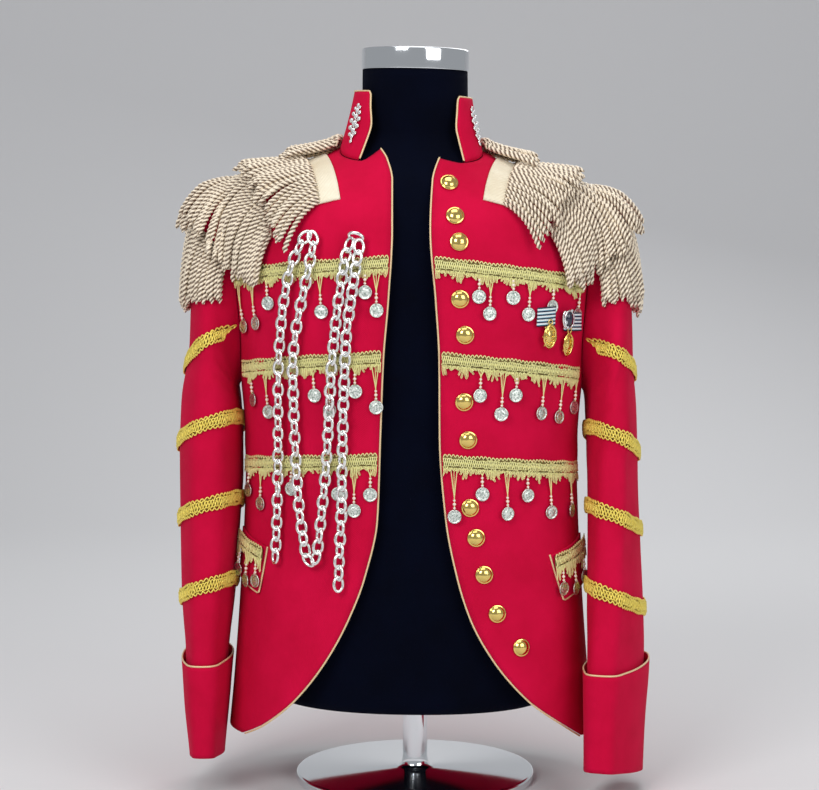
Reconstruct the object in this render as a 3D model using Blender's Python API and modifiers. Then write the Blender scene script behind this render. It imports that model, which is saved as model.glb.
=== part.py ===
"""Stage jacket on a limbless dress form.

An open cutaway jacket with a stand collar, braid with hanging coins, fringed
shoulders and turned-back cuffs, worn by a smooth form on a round stand.
Metres, +Z up, the front faces -Y, +X is the wearer's left.  The origin is the
underside of the stand.  Every cloth and trim point comes from two surfaces,
torso() and sleeve(), moved out along the surface by a named distance.
"""

import math
from collections import namedtuple

import bpy
import bmesh
from mathutils import Vector
from mathutils.bvhtree import BVHTree

# Cloth and gaps
WALL = 0.0020
SEAM = 0.0005
SEAM_HALF = 0.0005
TRIM_GAP = 0.0007
TRIM = 0.0014

# How the jacket sits: its centre line and its sideways slope
JACKET_SHIFT = -0.004
LEAN_LOW, LEAN_HIGH = 0.010, 0.022
LEAN_FROM, LEAN_OVER = 0.07, 0.50

# Torso of the jacket, one row a height
Ring = namedtuple("Ring", "height half_width front back roundness")
TORSO = [
    Ring(0.060, 0.198, 0.128, 0.130, 2.30),
    Ring(0.110, 0.193, 0.127, 0.127, 2.30),
    Ring(0.200, 0.186, 0.123, 0.120, 2.30),
    Ring(0.300, 0.180, 0.117, 0.112, 2.30),
    Ring(0.360, 0.178, 0.116, 0.109, 2.30),
    Ring(0.460, 0.186, 0.124, 0.114, 2.30),
    Ring(0.550, 0.196, 0.126, 0.120, 2.30),
    Ring(0.600, 0.195, 0.118, 0.118, 2.20),
    Ring(0.620, 0.191, 0.110, 0.113, 2.10),
    Ring(0.636, 0.184, 0.100, 0.105, 1.95),
    Ring(0.648, 0.160, 0.092, 0.097, 1.85),
    Ring(0.660, 0.128, 0.083, 0.088, 1.85),
    Ring(0.672, 0.098, 0.074, 0.079, 1.95),
    Ring(0.688, 0.068, 0.064, 0.067, 2.00),
]
SHOULDER = 0.636
UNDERARM = 0.430
NECK_FRONT, NECK_BACK = 0.669, 0.686
# The top of each front runs up to a point inside this angle
FRONT_PEAK = {-1: 0.682, 1: 0.6736}
PEAK_FROM = 30
ARMHOLE_FRONT, ARMHOLE_BACK = 0.050, 0.058
LOW_ROWS = [0.062, 0.076, 0.098, 0.130, 0.175, 0.235, 0.300, 0.370]
HOLE_ROWS = [(SHOULDER + UNDERARM) / 2
             + (SHOULDER - UNDERARM) / 2 * math.sin(math.radians(18 * i)) for i in range(-5, 6)]
PANEL_ROWS = LOW_ROWS + HOLE_ROWS
SHOULDER_ROWS = (0.25, 0.50, 0.75, 1.0)

# Where the two front edges run: x of the wearer's right and left edge
Edge = namedtuple("Edge", "height left right")
FRONT_EDGE = [
    Edge(0.062, -0.184, 0.178),
    Edge(0.076, -0.162, 0.161),
    Edge(0.110, -0.125, 0.119),
    Edge(0.155, -0.092, 0.0817),
    Edge(0.197, -0.070, 0.0587),
    Edge(0.240, -0.0537, 0.0449),
    Edge(0.300, -0.0406, 0.0330),
    Edge(0.384, -0.0374, 0.0264),
    Edge(0.466, -0.0341, 0.0257),
    Edge(0.528, -0.0289, 0.0220),
    Edge(0.600, -0.0250, 0.0165),
    Edge(0.650, -0.0251, 0.0190),
    Edge(0.672, -0.0306, 0.0255),
    Edge(0.683, -0.0376, 0.0330),
]

# Dress form inside the jacket, close under its shoulders and slack below
FORM = [
    Ring(0.093, 0.146, 0.106, 0.103, 2.2),
    Ring(0.097, 0.152, 0.110, 0.107, 2.2),
    Ring(0.200, 0.166, 0.112, 0.107, 2.2),
    Ring(0.280, 0.163, 0.106, 0.100, 2.2),
    Ring(0.360, 0.161, 0.104, 0.096, 2.2),
    Ring(0.460, 0.169, 0.112, 0.102, 2.2),
    Ring(0.550, 0.178, 0.114, 0.108, 2.2),
    Ring(0.600, 0.177, 0.107, 0.107, 2.1),
    Ring(0.620, 0.174, 0.100, 0.103, 2.0),
    Ring(0.6340, 0.1660, 0.0940, 0.0990, 1.95),
    Ring(0.6455, 0.1530, 0.0893, 0.0943, 1.85),
    Ring(0.6569, 0.1258, 0.0808, 0.0858, 1.85),
    Ring(0.6690, 0.0960, 0.0720, 0.0770, 1.95),
    Ring(0.6851, 0.0660, 0.0620, 0.0650, 2.0),
    Ring(0.700, 0.0570, 0.0565, 0.0570, 2.0),
    Ring(0.766, 0.0560, 0.0560, 0.0560, 2.0),
]
FORM_SIDES = 24
FORM_SHIFT_FROM, FORM_SHIFT_OVER = 0.665, 0.035

# Sleeves, one row a ring: its outer and inner point, its half depth, how far
# its centre lies forward, how far it is turned and how far its front is lifted
Cuffward = namedtuple("Cuffward", "outer_x outer_z inner_x inner_z depth forward turn lift")
SLEEVE_LEFT = [
    Cuffward(0.1880, 0.636, 0.1875, 0.430, 0.054, 0.000, 0, 0.00),
    Cuffward(0.2060, 0.632, 0.1885, 0.4285, 0.057, 0.000, 0, 0.00),
    Cuffward(0.2210, 0.620, 0.1893, 0.4265, 0.062, 0.000, 0, 0.00),
    Cuffward(0.2310, 0.600, 0.1898, 0.4240, 0.067, 0.000, 0, 0.00),
    Cuffward(0.2375, 0.566, 0.1895, 0.4200, 0.072, 0.000, 0, 0.00),
    Cuffward(0.2400, 0.520, 0.1885, 0.4140, 0.075, 0.001, 0, 0.00),
    Cuffward(0.2420, 0.470, 0.1870, 0.4030, 0.076, 0.003, 0, 0.00),
    Cuffward(0.2495, 0.420, 0.1855, 0.3830, 0.0755, 0.005, 0, 0.01),
    Cuffward(0.2530, 0.360, 0.1855, 0.3480, 0.0745, 0.008, 0, 0.03),
    Cuffward(0.2525, 0.290, 0.1885, 0.2900, 0.0730, 0.012, 0, 0.06),
    Cuffward(0.2512, 0.210, 0.1940, 0.2100, 0.0705, 0.018, 0, 0.09),
    Cuffward(0.2470, 0.145, 0.2015, 0.1450, 0.0680, 0.024, 0, 0.11),
    Cuffward(0.2450, 0.090, 0.2045, 0.0900, 0.0660, 0.029, 0, 0.13),
    Cuffward(0.2395, 0.034, 0.2092, 0.0340, 0.0630, 0.033, 0, 0.14),
]
SLEEVE_RIGHT = [
    Cuffward(0.1800, 0.636, 0.1795, 0.430, 0.054, 0.000, 0, 0.00),
    Cuffward(0.1980, 0.632, 0.1805, 0.4285, 0.057, 0.000, 0, 0.00),
    Cuffward(0.2130, 0.620, 0.1815, 0.4265, 0.062, 0.001, 0, 0.00),
    Cuffward(0.2240, 0.598, 0.1822, 0.4235, 0.067, 0.002, 0, 0.00),
    Cuffward(0.2300, 0.562, 0.1828, 0.4190, 0.071, 0.004, 0, 0.00),
    Cuffward(0.2320, 0.515, 0.1832, 0.4120, 0.0735, 0.006, 0, 0.00),
    Cuffward(0.2335, 0.462, 0.1835, 0.3990, 0.074, 0.009, 1, 0.00),
    Cuffward(0.2375, 0.410, 0.1840, 0.3760, 0.074, 0.013, 3, 0.01),
    Cuffward(0.2390, 0.350, 0.1850, 0.3400, 0.073, 0.019, 6, 0.03),
    Cuffward(0.2405, 0.280, 0.1857, 0.2800, 0.071, 0.028, 10, 0.07),
    Cuffward(0.2425, 0.200, 0.1860, 0.2000, 0.068, 0.041, 15, 0.11),
    Cuffward(0.2409, 0.138, 0.1883, 0.1380, 0.066, 0.052, 20, 0.14),
    Cuffward(0.2369, 0.084, 0.1879, 0.0840, 0.062, 0.061, 22, 0.16),
    Cuffward(0.2349, 0.028, 0.1875, 0.0280, 0.060, 0.068, 22, 0.17),
]
SLEEVE_SIDES = 20
SLEEVE_RINGS = [0, 0.6, 1.4, 2.4, 3.5, 4.7, 6, 7.2, 8.4, 9.6, 11, 12, 13]
SLEEVE_TUCK, SLEEVE_TOP_TUCK = 0.0011, 0.0017
SLEEVE_BLEND = 2.5
SLEEVE_TURN = 1.4
Crease = namedtuple("Crease", "angle half_angle rise")
SLEEVE_CREASES = {
    -1: [Crease(-25, 16, 0.0028), Crease(20, 14, 0.0018), Crease(150, 18, 0.0024)],
    1: [Crease(-18, 15, 0.0026), Crease(26, 14, 0.0030), Crease(155, 18, 0.0024)],
}
CUFF_TOP = {-1: 0.141, 1: 0.136}
CUFF_DROP = 0.0006

# Collar: angles of its two front ends and its height
COLLAR_COLUMNS = 16
COLLAR_LIFT = 0.0004
COLLAR_TOP = 0.7395
COLLAR_SLOPE = 0.040
COLLAR_RADIUS_X, COLLAR_RADIUS_Y = 0.0632, 0.0605
CollarEnd = namedtuple("CollarEnd", "part left right")
COLLAR_ENDS = [
    CollarEnd(0.00, 33.5, 34.0),
    CollarEnd(0.45, 32.5, 35.0),
    CollarEnd(0.85, 42.0, 44.5),
    CollarEnd(1.00, 46.5, 50.0),
]

# Chest braid: height at the front edge and at the side, and its outer ends
BRAID_HALF = 0.0068
Row = namedtuple("Row", "inner outer left_end right_end")
CHEST_ROWS = [
    Row(0.5650, 0.5455, 69.0, 64.5),
    Row(0.4680, 0.4490, 72.0, 70.0),
    Row(0.3615, 0.3465, 80.0, 80.0),
]
SCALLOP = 0.0060
# Coins on the rows: x and how far the coin hangs below the middle of its row
COINS = {
    (1, -1): [(-0.183, 0.053), (-0.168, 0.051), (-0.152, 0.032), (-0.0968, 0.045),
              (-0.0508, 0.028), (-0.0393, 0.047)],
    (1, 1): [(0.0645, 0.028), (0.0760, 0.044), (0.0992, 0.025), (0.1166, 0.040),
             (0.1412, 0.029), (0.1700, 0.033)],
    (2, -1): [(-0.1710, 0.034), (-0.1553, 0.048), (-0.1050, 0.034), (-0.0896, 0.050),
              (-0.0620, 0.032), (-0.0410, 0.050)],
    (2, 1): [(0.0670, 0.033), (0.0899, 0.050), (0.1043, 0.029), (0.1330, 0.045),
             (0.1530, 0.047), (0.1680, 0.035)],
    (3, -1): [(-0.1735, 0.029), (-0.1600, 0.043), (-0.1276, 0.027), (-0.0783, 0.033),
              (-0.0625, 0.051), (-0.0460, 0.035)],
    (3, 1): [(0.0395, 0.056), (0.0684, 0.031), (0.0940, 0.050), (0.1156, 0.030),
             (0.1392, 0.047), (0.1618, 0.045)],
}
COIN_RADIUS = 0.0072
COIN_THICK = 0.0011
COIN_ROD = 0.0009
COIN_OUT = 0.0011

# Sleeve braid: height at the front of the loop and its drop to the back
SleeveBand = namedtuple("SleeveBand", "height drop")
SLEEVE_BANDS = {
    -1: [SleeveBand(0.492, 0.050), SleeveBand(0.402, 0.042),
         SleeveBand(0.316, 0.036), SleeveBand(0.230, 0.034)],
    1: [SleeveBand(0.477, 0.040), SleeveBand(0.391, 0.038),
        SleeveBand(0.309, 0.036), SleeveBand(0.226, 0.036)],
}
BAND_LEAN = -40
BAND_CLEAR = 0.9
BAND_GAP = 0.0011

# Pocket flaps: front corner angles, rear angle, heights
Flap = namedtuple("Flap", "top_angle low_angle rear_angle front_height rear_height")
FLAPS = {
    -1: Flap(54.0, 57.5, 80.0, 0.2637, 0.2780),
    1: Flap(50.5, 57.0, 82.0, 0.2605, 0.2755),
}
FLAP_DEPTH = 0.0485
FLAP_MARGIN = 0.03
FLAP_COLUMN = 0.008
# Coins on a flap: share from its front edge and how far they hang
FLAP_COINS = [(0.15, 0.020), (0.42, 0.026), (0.72, 0.021)]

# Buttons on the wearer's left front, centres as x and height
BUTTON_RADIUS = 0.0095
BUTTON_RISE = 0.0055
BUTTON_GAP = 0.0004
BUTTONS = [
    (0.0347, 0.6478), (0.0405, 0.6143), (0.0445, 0.5881), (0.0455, 0.5301),
    (0.0507, 0.4933), (0.0500, 0.4241), (0.0543, 0.3843), (0.0565, 0.3135),
    (0.0628, 0.2822), (0.0712, 0.2437), (0.0848, 0.2028), (0.1102, 0.1661),
]

# Chest chain: one route with two hooks at the top and a loop between them
CHAIN_HALF_WIDTH = 0.0055
CHAIN_HALF_THICK = 0.0034
CHAIN_GAP = 0.0040
CHAIN_ROUTE = [
    (-0.1420, 0.2480), (-0.1400, 0.2900), (-0.1385, 0.3450), (-0.1380, 0.4100),
    (-0.1370, 0.4650), (-0.1330, 0.5150), (-0.1260, 0.5550), (-0.1130, 0.5850),
    (-0.1060, 0.5915), (-0.1010, 0.5850), (-0.1080, 0.5500), (-0.1180, 0.5050),
    (-0.1230, 0.4650), (-0.1220, 0.4100), (-0.1200, 0.3500), (-0.1170, 0.3050),
    (-0.1120, 0.2700), (-0.1090, 0.2560), (-0.1030, 0.2530), (-0.0990, 0.2620),
    (-0.0950, 0.3000), (-0.0900, 0.3500), (-0.0865, 0.4100), (-0.0840, 0.4600),
    (-0.0780, 0.5200), (-0.0700, 0.5700), (-0.0640, 0.5880), (-0.0580, 0.5900),
    (-0.0560, 0.5800), (-0.0620, 0.5450), (-0.0690, 0.4950), (-0.0720, 0.4300),
    (-0.0735, 0.3700), (-0.0745, 0.3100), (-0.0770, 0.2550), (-0.0785, 0.2140),
]

# Medals on the wearer's left chest: striped ribbons and what lies over them
RIBBON_HALF = (0.0085, 0.0090)
RIBBON_GAP, RIBBON_THICK = 0.0034, 0.0014
RIBBONS = {1: (0.1330, 0.5130), 2: (0.1610, 0.5070)}
Badge = namedtuple("Badge", "name x height half_width half_height rise gap")
BADGES = [
    Badge("brooch", 0.1550, 0.5100, 0.0068, 0.0095, 0.0060, 0.0054),
    Badge("medal_left", 0.1353, 0.4925, 0.0088, 0.0145, 0.0022, 0.0052),
    Badge("medal_right", 0.1550, 0.4840, 0.0072, 0.0158, 0.0022, 0.0046),
]

# Gold cord along the edges: its radius and how far past the edge it lies
PIPING = 0.0013
PIPING_AWAY = 0.0019

# Collar ornaments
ORNAMENT_ANGLES = {-1: 49.0, 1: 61.0}
ORNAMENT_HALF = (0.0060, 0.0215)
ORNAMENT_RISE = 0.0026

# Shoulder fringe: each tier's backing and its strands. A strand climbs off the
# shoulder to its rise, droops on a radius, and towards the front and back it
# falls more steeply and is shorter.
Tier = namedtuple("Tier", "x height tilt slant fore aft width gap thick strands length rise climb "
                  "droop fall short")
TIERS = {
    "collar": Tier(0.075, 0.600, 0, 0.00, 18, 30, 0.006, 0.0040, 0.0018, 5, 0.055, 0.0110, 0.21,
                   0.110, 0.0, 0.0),
    "upper": Tier(0.117, 0.560, 0, 0.22, 56, 54, 0.024, 0.0010, 0.0018, 15, 0.066, 0.0180, 0.30,
                  0.075, 1.30, 0.15),
    "middle": Tier(0.168, 0.545, 4, 0.26, 62, 52, 0.008, 0.0020, 0.0040, 15, 0.096, 0.0150, 0.28,
                   0.040, 2.20, 0.85),
    "outer": Tier(0.200, 0.550, 34, 0.12, 78, 66, 0.008, 0.0010, 0.0040, 16, 0.084, 0.0020, 0.135,
                  0.040, 0.40, 0.60),
}
FRINGE_SINK = 0.6
FRINGE_PUSH = 0.004
STRAND_THICK = 0.0040
STRAND_SHARE = 0.84
LAY_STEP = 0.004

# Stand and neck cap
BASE_RADIUS, BASE_THICK, BASE_EDGE = 0.130, 0.009, 0.003
POST_RADIUS = 0.0135
PLATE_RADIUS, PLATE_THICK = 0.034, 0.005
CAP_RADIUS, CAP_BOTTOM, CAP_TOP, CAP_EDGE = 0.0572, 0.7665, 0.7890, 0.0025

GARMENT = "StageJacket"


def clear_scene():
    for item in list(bpy.data.objects):
        bpy.data.objects.remove(item, do_unlink=True)


def value_at(rows, at, field):
    """Read a table with a curve that never overshoots its rows."""
    first = rows[0][0]
    last = rows[-1][0]
    if at <= first:
        return getattr(rows[0], field)
    if at >= last:
        return getattr(rows[-1], field)
    low = max(i for i in range(len(rows) - 1) if rows[i][0] <= at)
    return hermite([row[0] for row in rows], [getattr(row, field) for row in rows], low, at)


def hermite(places, values, low, at):
    def slope(i):
        if i == 0:
            return (values[1] - values[0]) / (places[1] - places[0])
        if i == len(places) - 1:
            return (values[-1] - values[-2]) / (places[-1] - places[-2])
        before = (values[i] - values[i - 1]) / (places[i] - places[i - 1])
        after = (values[i + 1] - values[i]) / (places[i + 1] - places[i])
        if before * after <= 0:
            return 0.0
        return 2 * before * after / (before + after)

    span = places[low + 1] - places[low]
    t = (at - places[low]) / span
    start = slope(low) * span
    end = slope(low + 1) * span
    return ((2 * t ** 3 - 3 * t ** 2 + 1) * values[low] + (t ** 3 - 2 * t ** 2 + t) * start
            + (3 * t ** 2 - 2 * t ** 3) * values[low + 1] + (t ** 3 - t ** 2) * end)


def ease(t):
    t = min(1.0, max(0.0, t))
    return t * t * (3 - 2 * t)


def leaned(point):
    """Slope the whole dressed form a little to one side, more at the top."""
    share = min(1.0, max(0.0, (point.z - LEAN_FROM) / LEAN_OVER))
    slope = LEAN_LOW + (LEAN_HIGH - LEAN_LOW) * share
    return Vector((point.x, point.y, point.z - slope * point.x))


def ring_point(rows, angle, height, shift):
    half = value_at(rows, height, "half_width")
    front = value_at(rows, height, "front")
    back = value_at(rows, height, "back")
    power = 2 / value_at(rows, height, "roundness")
    turn = math.radians(angle)
    s, c = math.sin(turn), math.cos(turn)
    deep = front if c > 0 else back
    x = half * math.copysign(abs(s) ** power, s)
    y = -deep * math.copysign(abs(c) ** power, c)
    return Vector((x + shift, y, height))


def outward(surface, a, b, step_a, step_b):
    """Unit normal of surface(a, b) from its own neighbours."""
    along = surface(a + step_a, b) - surface(a - step_a, b)
    up = surface(a, b + step_b) - surface(a, b - step_b)
    return along.cross(up).normalized()


def torso(angle, height, out=0.0):
    def bare(a, h):
        return ring_point(TORSO, a, h, JACKET_SHIFT)
    point = bare(angle, height)
    if out:
        point = point + outward(bare, angle, height, 0.5, 0.002) * out
    return leaned(point)


def laid(angle, height, out=0.0):
    """The torso as its panels are cut: straight between their rows."""
    rows = PANEL_ROWS + [SHOULDER + share * (neck_height(angle) - SHOULDER)
                         for share in SHOULDER_ROWS]
    def bare(a, h):
        low = min(len(rows) - 2, max(0, sum(1 for row in rows if row <= h) - 1))
        part = (h - rows[low]) / (rows[low + 1] - rows[low])
        under = ring_point(TORSO, a, rows[low], JACKET_SHIFT)
        over = ring_point(TORSO, a, rows[low + 1], JACKET_SHIFT)
        return under.lerp(over, part)
    point = bare(angle, height)
    if out:
        def smooth(a, h):
            return ring_point(TORSO, a, h, JACKET_SHIFT)
        point = point + outward(smooth, angle, height, 0.5, 0.002) * out
    return leaned(point)


def torso_angle(x, height):
    """Angle of the front surface at a given x."""
    half = value_at(TORSO, height, "half_width")
    power = value_at(TORSO, height, "roundness") / 2
    reach = x - JACKET_SHIFT
    share = min(1.0, abs(reach) / half)
    return math.copysign(math.degrees(math.asin(share ** power)), reach)


def side_angle(depth, height):
    """Angle of the surface at a given distance before or behind the side."""
    deep = value_at(TORSO, height, "front" if depth < 0 else "back")
    power = value_at(TORSO, height, "roundness") / 2
    share = min(1.0, abs(depth) / deep)
    return math.degrees(math.acos(math.copysign(share ** power, -depth)))


def front_at(x, height, out=0.0):
    return laid(torso_angle(x, height), height, out)


def neck_height(angle):
    turn = abs((angle + 180) % 360 - 180)
    return NECK_FRONT + (NECK_BACK - NECK_FRONT) * ease((turn - 25) / 70)


def armhole_height(angle):
    middle = (SHOULDER + UNDERARM) / 2
    return middle + (SHOULDER - UNDERARM) / 2 * math.sin(math.radians(angle))


def armhole_depth(angle):
    """Depth of the armhole curve at its own angle, 90 at the shoulder."""
    c = math.cos(math.radians(angle))
    return -ARMHOLE_FRONT * c if c > 0 else -ARMHOLE_BACK * c


def sleeve_ring(side, down, angle):
    rows = SLEEVE_LEFT if side < 0 else SLEEVE_RIGHT
    places = list(range(len(rows)))
    at = min(len(rows) - 1.0, max(0.0, down))
    low = min(len(rows) - 2, int(at))

    def read(field):
        return hermite(places, [getattr(row, field) for row in rows], low, at)

    outer = Vector((read("outer_x"), 0, read("outer_z")))
    inner = Vector((read("inner_x"), 0, read("inner_z")))
    turn = math.radians(angle)
    s, c = math.sin(turn), math.cos(turn)
    arm = (outer - inner) / 2
    swing = math.radians(read("turn"))
    depth = read("depth")
    across = arm.x * s
    ahead = depth * c
    x = (outer.x + inner.x) / 2 + across * math.cos(swing) - ahead * math.sin(swing)
    y = -read("forward") - ahead * math.cos(swing) - across * math.sin(swing)
    z = (outer.z + inner.z) / 2 + arm.z * s + ahead * read("lift")
    return Vector((side * x, y, z)), at


def sleeve_bare(side, down, angle):
    ring, at = sleeve_ring(side, down, angle)
    share = ease(at / SLEEVE_BLEND)
    if share < 1:
        height = armhole_height(angle)
        depth = armhole_depth(angle)
        hole = ring_point(TORSO, side * side_angle(depth, height), height, JACKET_SHIFT)
        ring = hole.lerp(ring, share)
    return ring


def sleeve_crease(side, down, angle):
    fade = ease((down - 5) / 3)
    rise = 0.0
    for crease in SLEEVE_CREASES[side]:
        away = ((angle - crease.angle + 180) % 360 - 180) / crease.half_angle
        rise += crease.rise * math.exp(-away * away)
    return rise * fade


def sleeve(side, down, angle, out=0.0):
    def bare(d, a):
        return sleeve_bare(side, d, a)
    step = 0.02
    near = min(max(down, step), len(SLEEVE_LEFT) - 1 - step)
    normal = outward(bare, near, angle, step, 1.0) * side
    point = bare(down, angle)
    share = ease(down / SLEEVE_TURN)
    if share < 1:
        middle = Vector((point.x, 0, (SHOULDER + UNDERARM) / 2))
        normal = (point - middle).normalized().lerp(normal, share).normalized()
    return leaned(point + normal * (out + sleeve_crease(side, down, angle)))


def on_sleeve(side, down, angle, out=0.0):
    """The sleeve as it is cut: straight between its rings."""
    low = max(i for i in range(len(SLEEVE_RINGS) - 1) if SLEEVE_RINGS[i] <= down)
    start, end = SLEEVE_RINGS[low], SLEEVE_RINGS[low + 1]
    over = sleeve(side, start, angle, out)
    return over.lerp(sleeve(side, end, angle, out), (down - start) / (end - start))


def sleeve_down(side, height, angle):
    """Place along the sleeve where it has a given height."""
    low, high = 0.0, len(SLEEVE_LEFT) - 1.0
    for _ in range(30):
        middle = (low + high) / 2
        if on_sleeve(side, middle, angle).z > height:
            low = middle
        else:
            high = middle
    return (low + high) / 2


def collar_end(side, part):
    field = "left" if side < 0 else "right"
    return value_at(COLLAR_ENDS, part, field)


def collar(share, part, out=0.0):
    """Collar surface: share 0 to 1 round the neck, part 0 to 1 upwards."""
    def bare(s, p):
        start = collar_end(1, p)
        end = 360 - collar_end(-1, p)
        angle = start + (end - start) * s
        low = ring_point(TORSO, angle, neck_height(angle), JACKET_SHIFT)
        low.z += SEAM + COLLAR_LIFT
        turn = math.radians(angle)
        top = Vector((COLLAR_RADIUS_X * math.sin(turn) + JACKET_SHIFT / 2,
                      -COLLAR_RADIUS_Y * math.cos(turn), COLLAR_TOP))
        top.z -= COLLAR_SLOPE * top.x
        return low.lerp(top, p)
    point = bare(share, part)
    if out:
        near = min(0.98, max(0.02, part))
        point = point + outward(bare, share, near, 0.005, 0.02) * out
    return leaned(point)


def steps(start, end, count):
    return [start + (end - start) * i / count for i in range(count + 1)]


def material(name, colour, roughness=0.6, metallic=0.0):
    made = bpy.data.materials.new(name)
    made.use_nodes = True
    shader = made.node_tree.nodes["Principled BSDF"]
    shader.inputs["Base Color"].default_value = (*colour, 1)
    shader.inputs["Roughness"].default_value = roughness
    shader.inputs["Metallic"].default_value = metallic
    return made


def add_object(name, mesh, finish):
    made = bpy.data.objects.new(name, mesh)
    bpy.data.collections[GARMENT].objects.link(made)
    made.data.materials.clear()
    made.data.materials.append(finish)
    return made


def grid(columns, rows):
    """A flat grid whose vertices know their column and row."""
    mesh = bmesh.new()
    bmesh.ops.create_grid(mesh, x_segments=columns, y_segments=rows, size=0.5)
    cells = {}
    for vert in mesh.verts:
        column = round((vert.co.x + 0.5) * columns)
        row = round((vert.co.y + 0.5) * rows)
        cells[vert] = (column, row)
    return mesh, cells


def cloth(name, columns, rows, place, finish, closed=False, wall=WALL):
    """An open sheet from place(column, row), thickened inwards."""
    shape, cells = grid(columns, rows)
    for vert, (column, row) in cells.items():
        vert.co = place(column, row)
    if closed:
        bmesh.ops.remove_doubles(shape, verts=shape.verts, dist=0.00002)
    mesh = bpy.data.meshes.new(name)
    shape.to_mesh(mesh)
    shape.free()
    made = add_object(name, mesh, finish)
    made.data.shade_smooth()
    shell = made.modifiers.new("Wall", "SOLIDIFY")
    shell.thickness = wall
    shell.offset = -1
    shell.use_even_offset = True
    shell.use_quality_normals = True
    return made


def slab(columns, rows, outer, inner, closed=False):
    """A closed strip between two surfaces, and what each vertex stands for."""
    shape, cells = grid(columns, rows)
    copied = bmesh.ops.extrude_face_region(shape, geom=shape.faces[:])
    lower = {v for v in copied["geom"] if isinstance(v, bmesh.types.BMVert)}
    roles = {}
    for vert in shape.verts:
        column = round((vert.co.x + 0.5) * columns)
        row = round((vert.co.y + 0.5) * rows)
        roles[vert] = (column, row, vert in lower)
    for vert, (column, row, below) in roles.items():
        vert.co = inner(column, row) if below else outer(column, row)
    if closed:
        ends = [f for f in shape.faces
                if all(roles[v][0] == 0 for v in f.verts)
                or all(roles[v][0] == columns for v in f.verts)]
        bmesh.ops.delete(shape, geom=ends, context="FACES_ONLY")
        bmesh.ops.remove_doubles(shape, verts=shape.verts, dist=0.00002)
    return shape, roles


def finish_slab(name, shape, finish):
    bmesh.ops.recalc_face_normals(shape, faces=shape.faces)
    mesh = bpy.data.meshes.new(name)
    shape.to_mesh(mesh)
    shape.free()
    return add_object(name, mesh, finish)


def grow_strand(shape, roles, face, sections):
    """Draw one rim face out through sections of centre, half side, half out."""
    corners = {vert: roles[vert] for vert in face.verts}
    left = min(role[0] for role in corners.values())
    signs = {vert: (-1 if role[0] == left else 1, -1 if role[2] else 1)
             for vert, role in corners.items()}
    for centre, side, out in sections:
        grown = bmesh.ops.extrude_discrete_faces(shape, faces=[face])
        face = grown["faces"][0]
        following = {}
        for vert in face.verts:
            root = next(edge.other_vert(vert) for edge in vert.link_edges
                        if edge.other_vert(vert) in signs)
            following[vert] = signs[root]
        for vert, (across, over) in following.items():
            vert.co = centre + side * across + out * over
        signs = following


def rim_face(shape, roles, column, row):
    wanted = {(column, row), (column + 1, row)}
    for face in shape.faces:
        if all(vert in roles for vert in face.verts):
            if {roles[vert][:2] for vert in face.verts} == wanted:
                return face
    raise ValueError("no rim face at this column")


def front_columns(side, row, count):
    """Angles of a front panel from its front edge to its side."""
    height = edge_height(side, row)
    edge = value_at(FRONT_EDGE, height, "left" if side < 0 else "right")
    start = torso_angle(edge, height)
    end = side * seam_angle(row_height(row), True)
    return steps(start, end, count)


def seam_angle(height, front):
    """Where a panel ends: the side seam, the armhole or the shoulder seam."""
    plain = side_angle(-SEAM_HALF if front else SEAM_HALF, height)
    if UNDERARM < height < SHOULDER:
        middle = (SHOULDER + UNDERARM) / 2
        s = (height - middle) / ((SHOULDER - UNDERARM) / 2)
        turn = math.degrees(math.asin(max(-1.0, min(1.0, s))))
        depth = armhole_depth(turn if front else 180 - turn)
        angle = side_angle(depth, height)
        return min(angle, plain) if front else max(angle, plain)
    return plain


def panel_point(angle, row):
    """Point of a body panel whose last rows run up to the neck seam."""
    if row < len(PANEL_ROWS):
        return torso(angle, PANEL_ROWS[row])
    share = SHOULDER_ROWS[row - len(PANEL_ROWS)]
    return torso(angle, SHOULDER + share * (neck_height(angle) - SHOULDER))


def row_height(row):
    if row < len(PANEL_ROWS):
        return PANEL_ROWS[row]
    return SHOULDER + SHOULDER_ROWS[row - len(PANEL_ROWS)] * (NECK_FRONT + 0.002 - SHOULDER)


def edge_height(side, row):
    """Height of a row at the front edge, whose top is a point."""
    if row < len(PANEL_ROWS):
        return PANEL_ROWS[row]
    return SHOULDER + SHOULDER_ROWS[row - len(PANEL_ROWS)] * (FRONT_PEAK[side] - SHOULDER)


def front_point(side, angle, start, row):
    """Point of a front panel, raised to the point beside its front edge."""
    point = panel_point(angle, row)
    if row < len(PANEL_ROWS) or abs(angle) > PEAK_FROM:
        return point
    near = (PEAK_FROM - abs(angle)) / (PEAK_FROM - abs(start))
    top = neck_height(angle) + near * (FRONT_PEAK[side] - neck_height(angle))
    share = SHOULDER_ROWS[row - len(PANEL_ROWS)]
    return torso(angle, SHOULDER + share * (top - SHOULDER))


def make_fronts(finish):
    columns = 8
    rows = len(PANEL_ROWS) + len(SHOULDER_ROWS) - 1
    for side, name in ((-1, "front_left"), (1, "front_right")):
        def place(column, row):
            angles = front_columns(side, row, columns)
            start = angles[0]
            if side < 0:
                angles.reverse()
            return front_point(side, angles[column], start, row)
        cloth(name, columns, rows, place, finish)


def make_back(finish):
    columns = 12
    rows = len(PANEL_ROWS) + len(SHOULDER_ROWS) - 1

    def place(column, row):
        start = seam_angle(row_height(row), False)
        angles = steps(start, 360 - start, columns)
        return panel_point(angles[column], row)
    cloth("back", columns, rows, place, finish)


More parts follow.
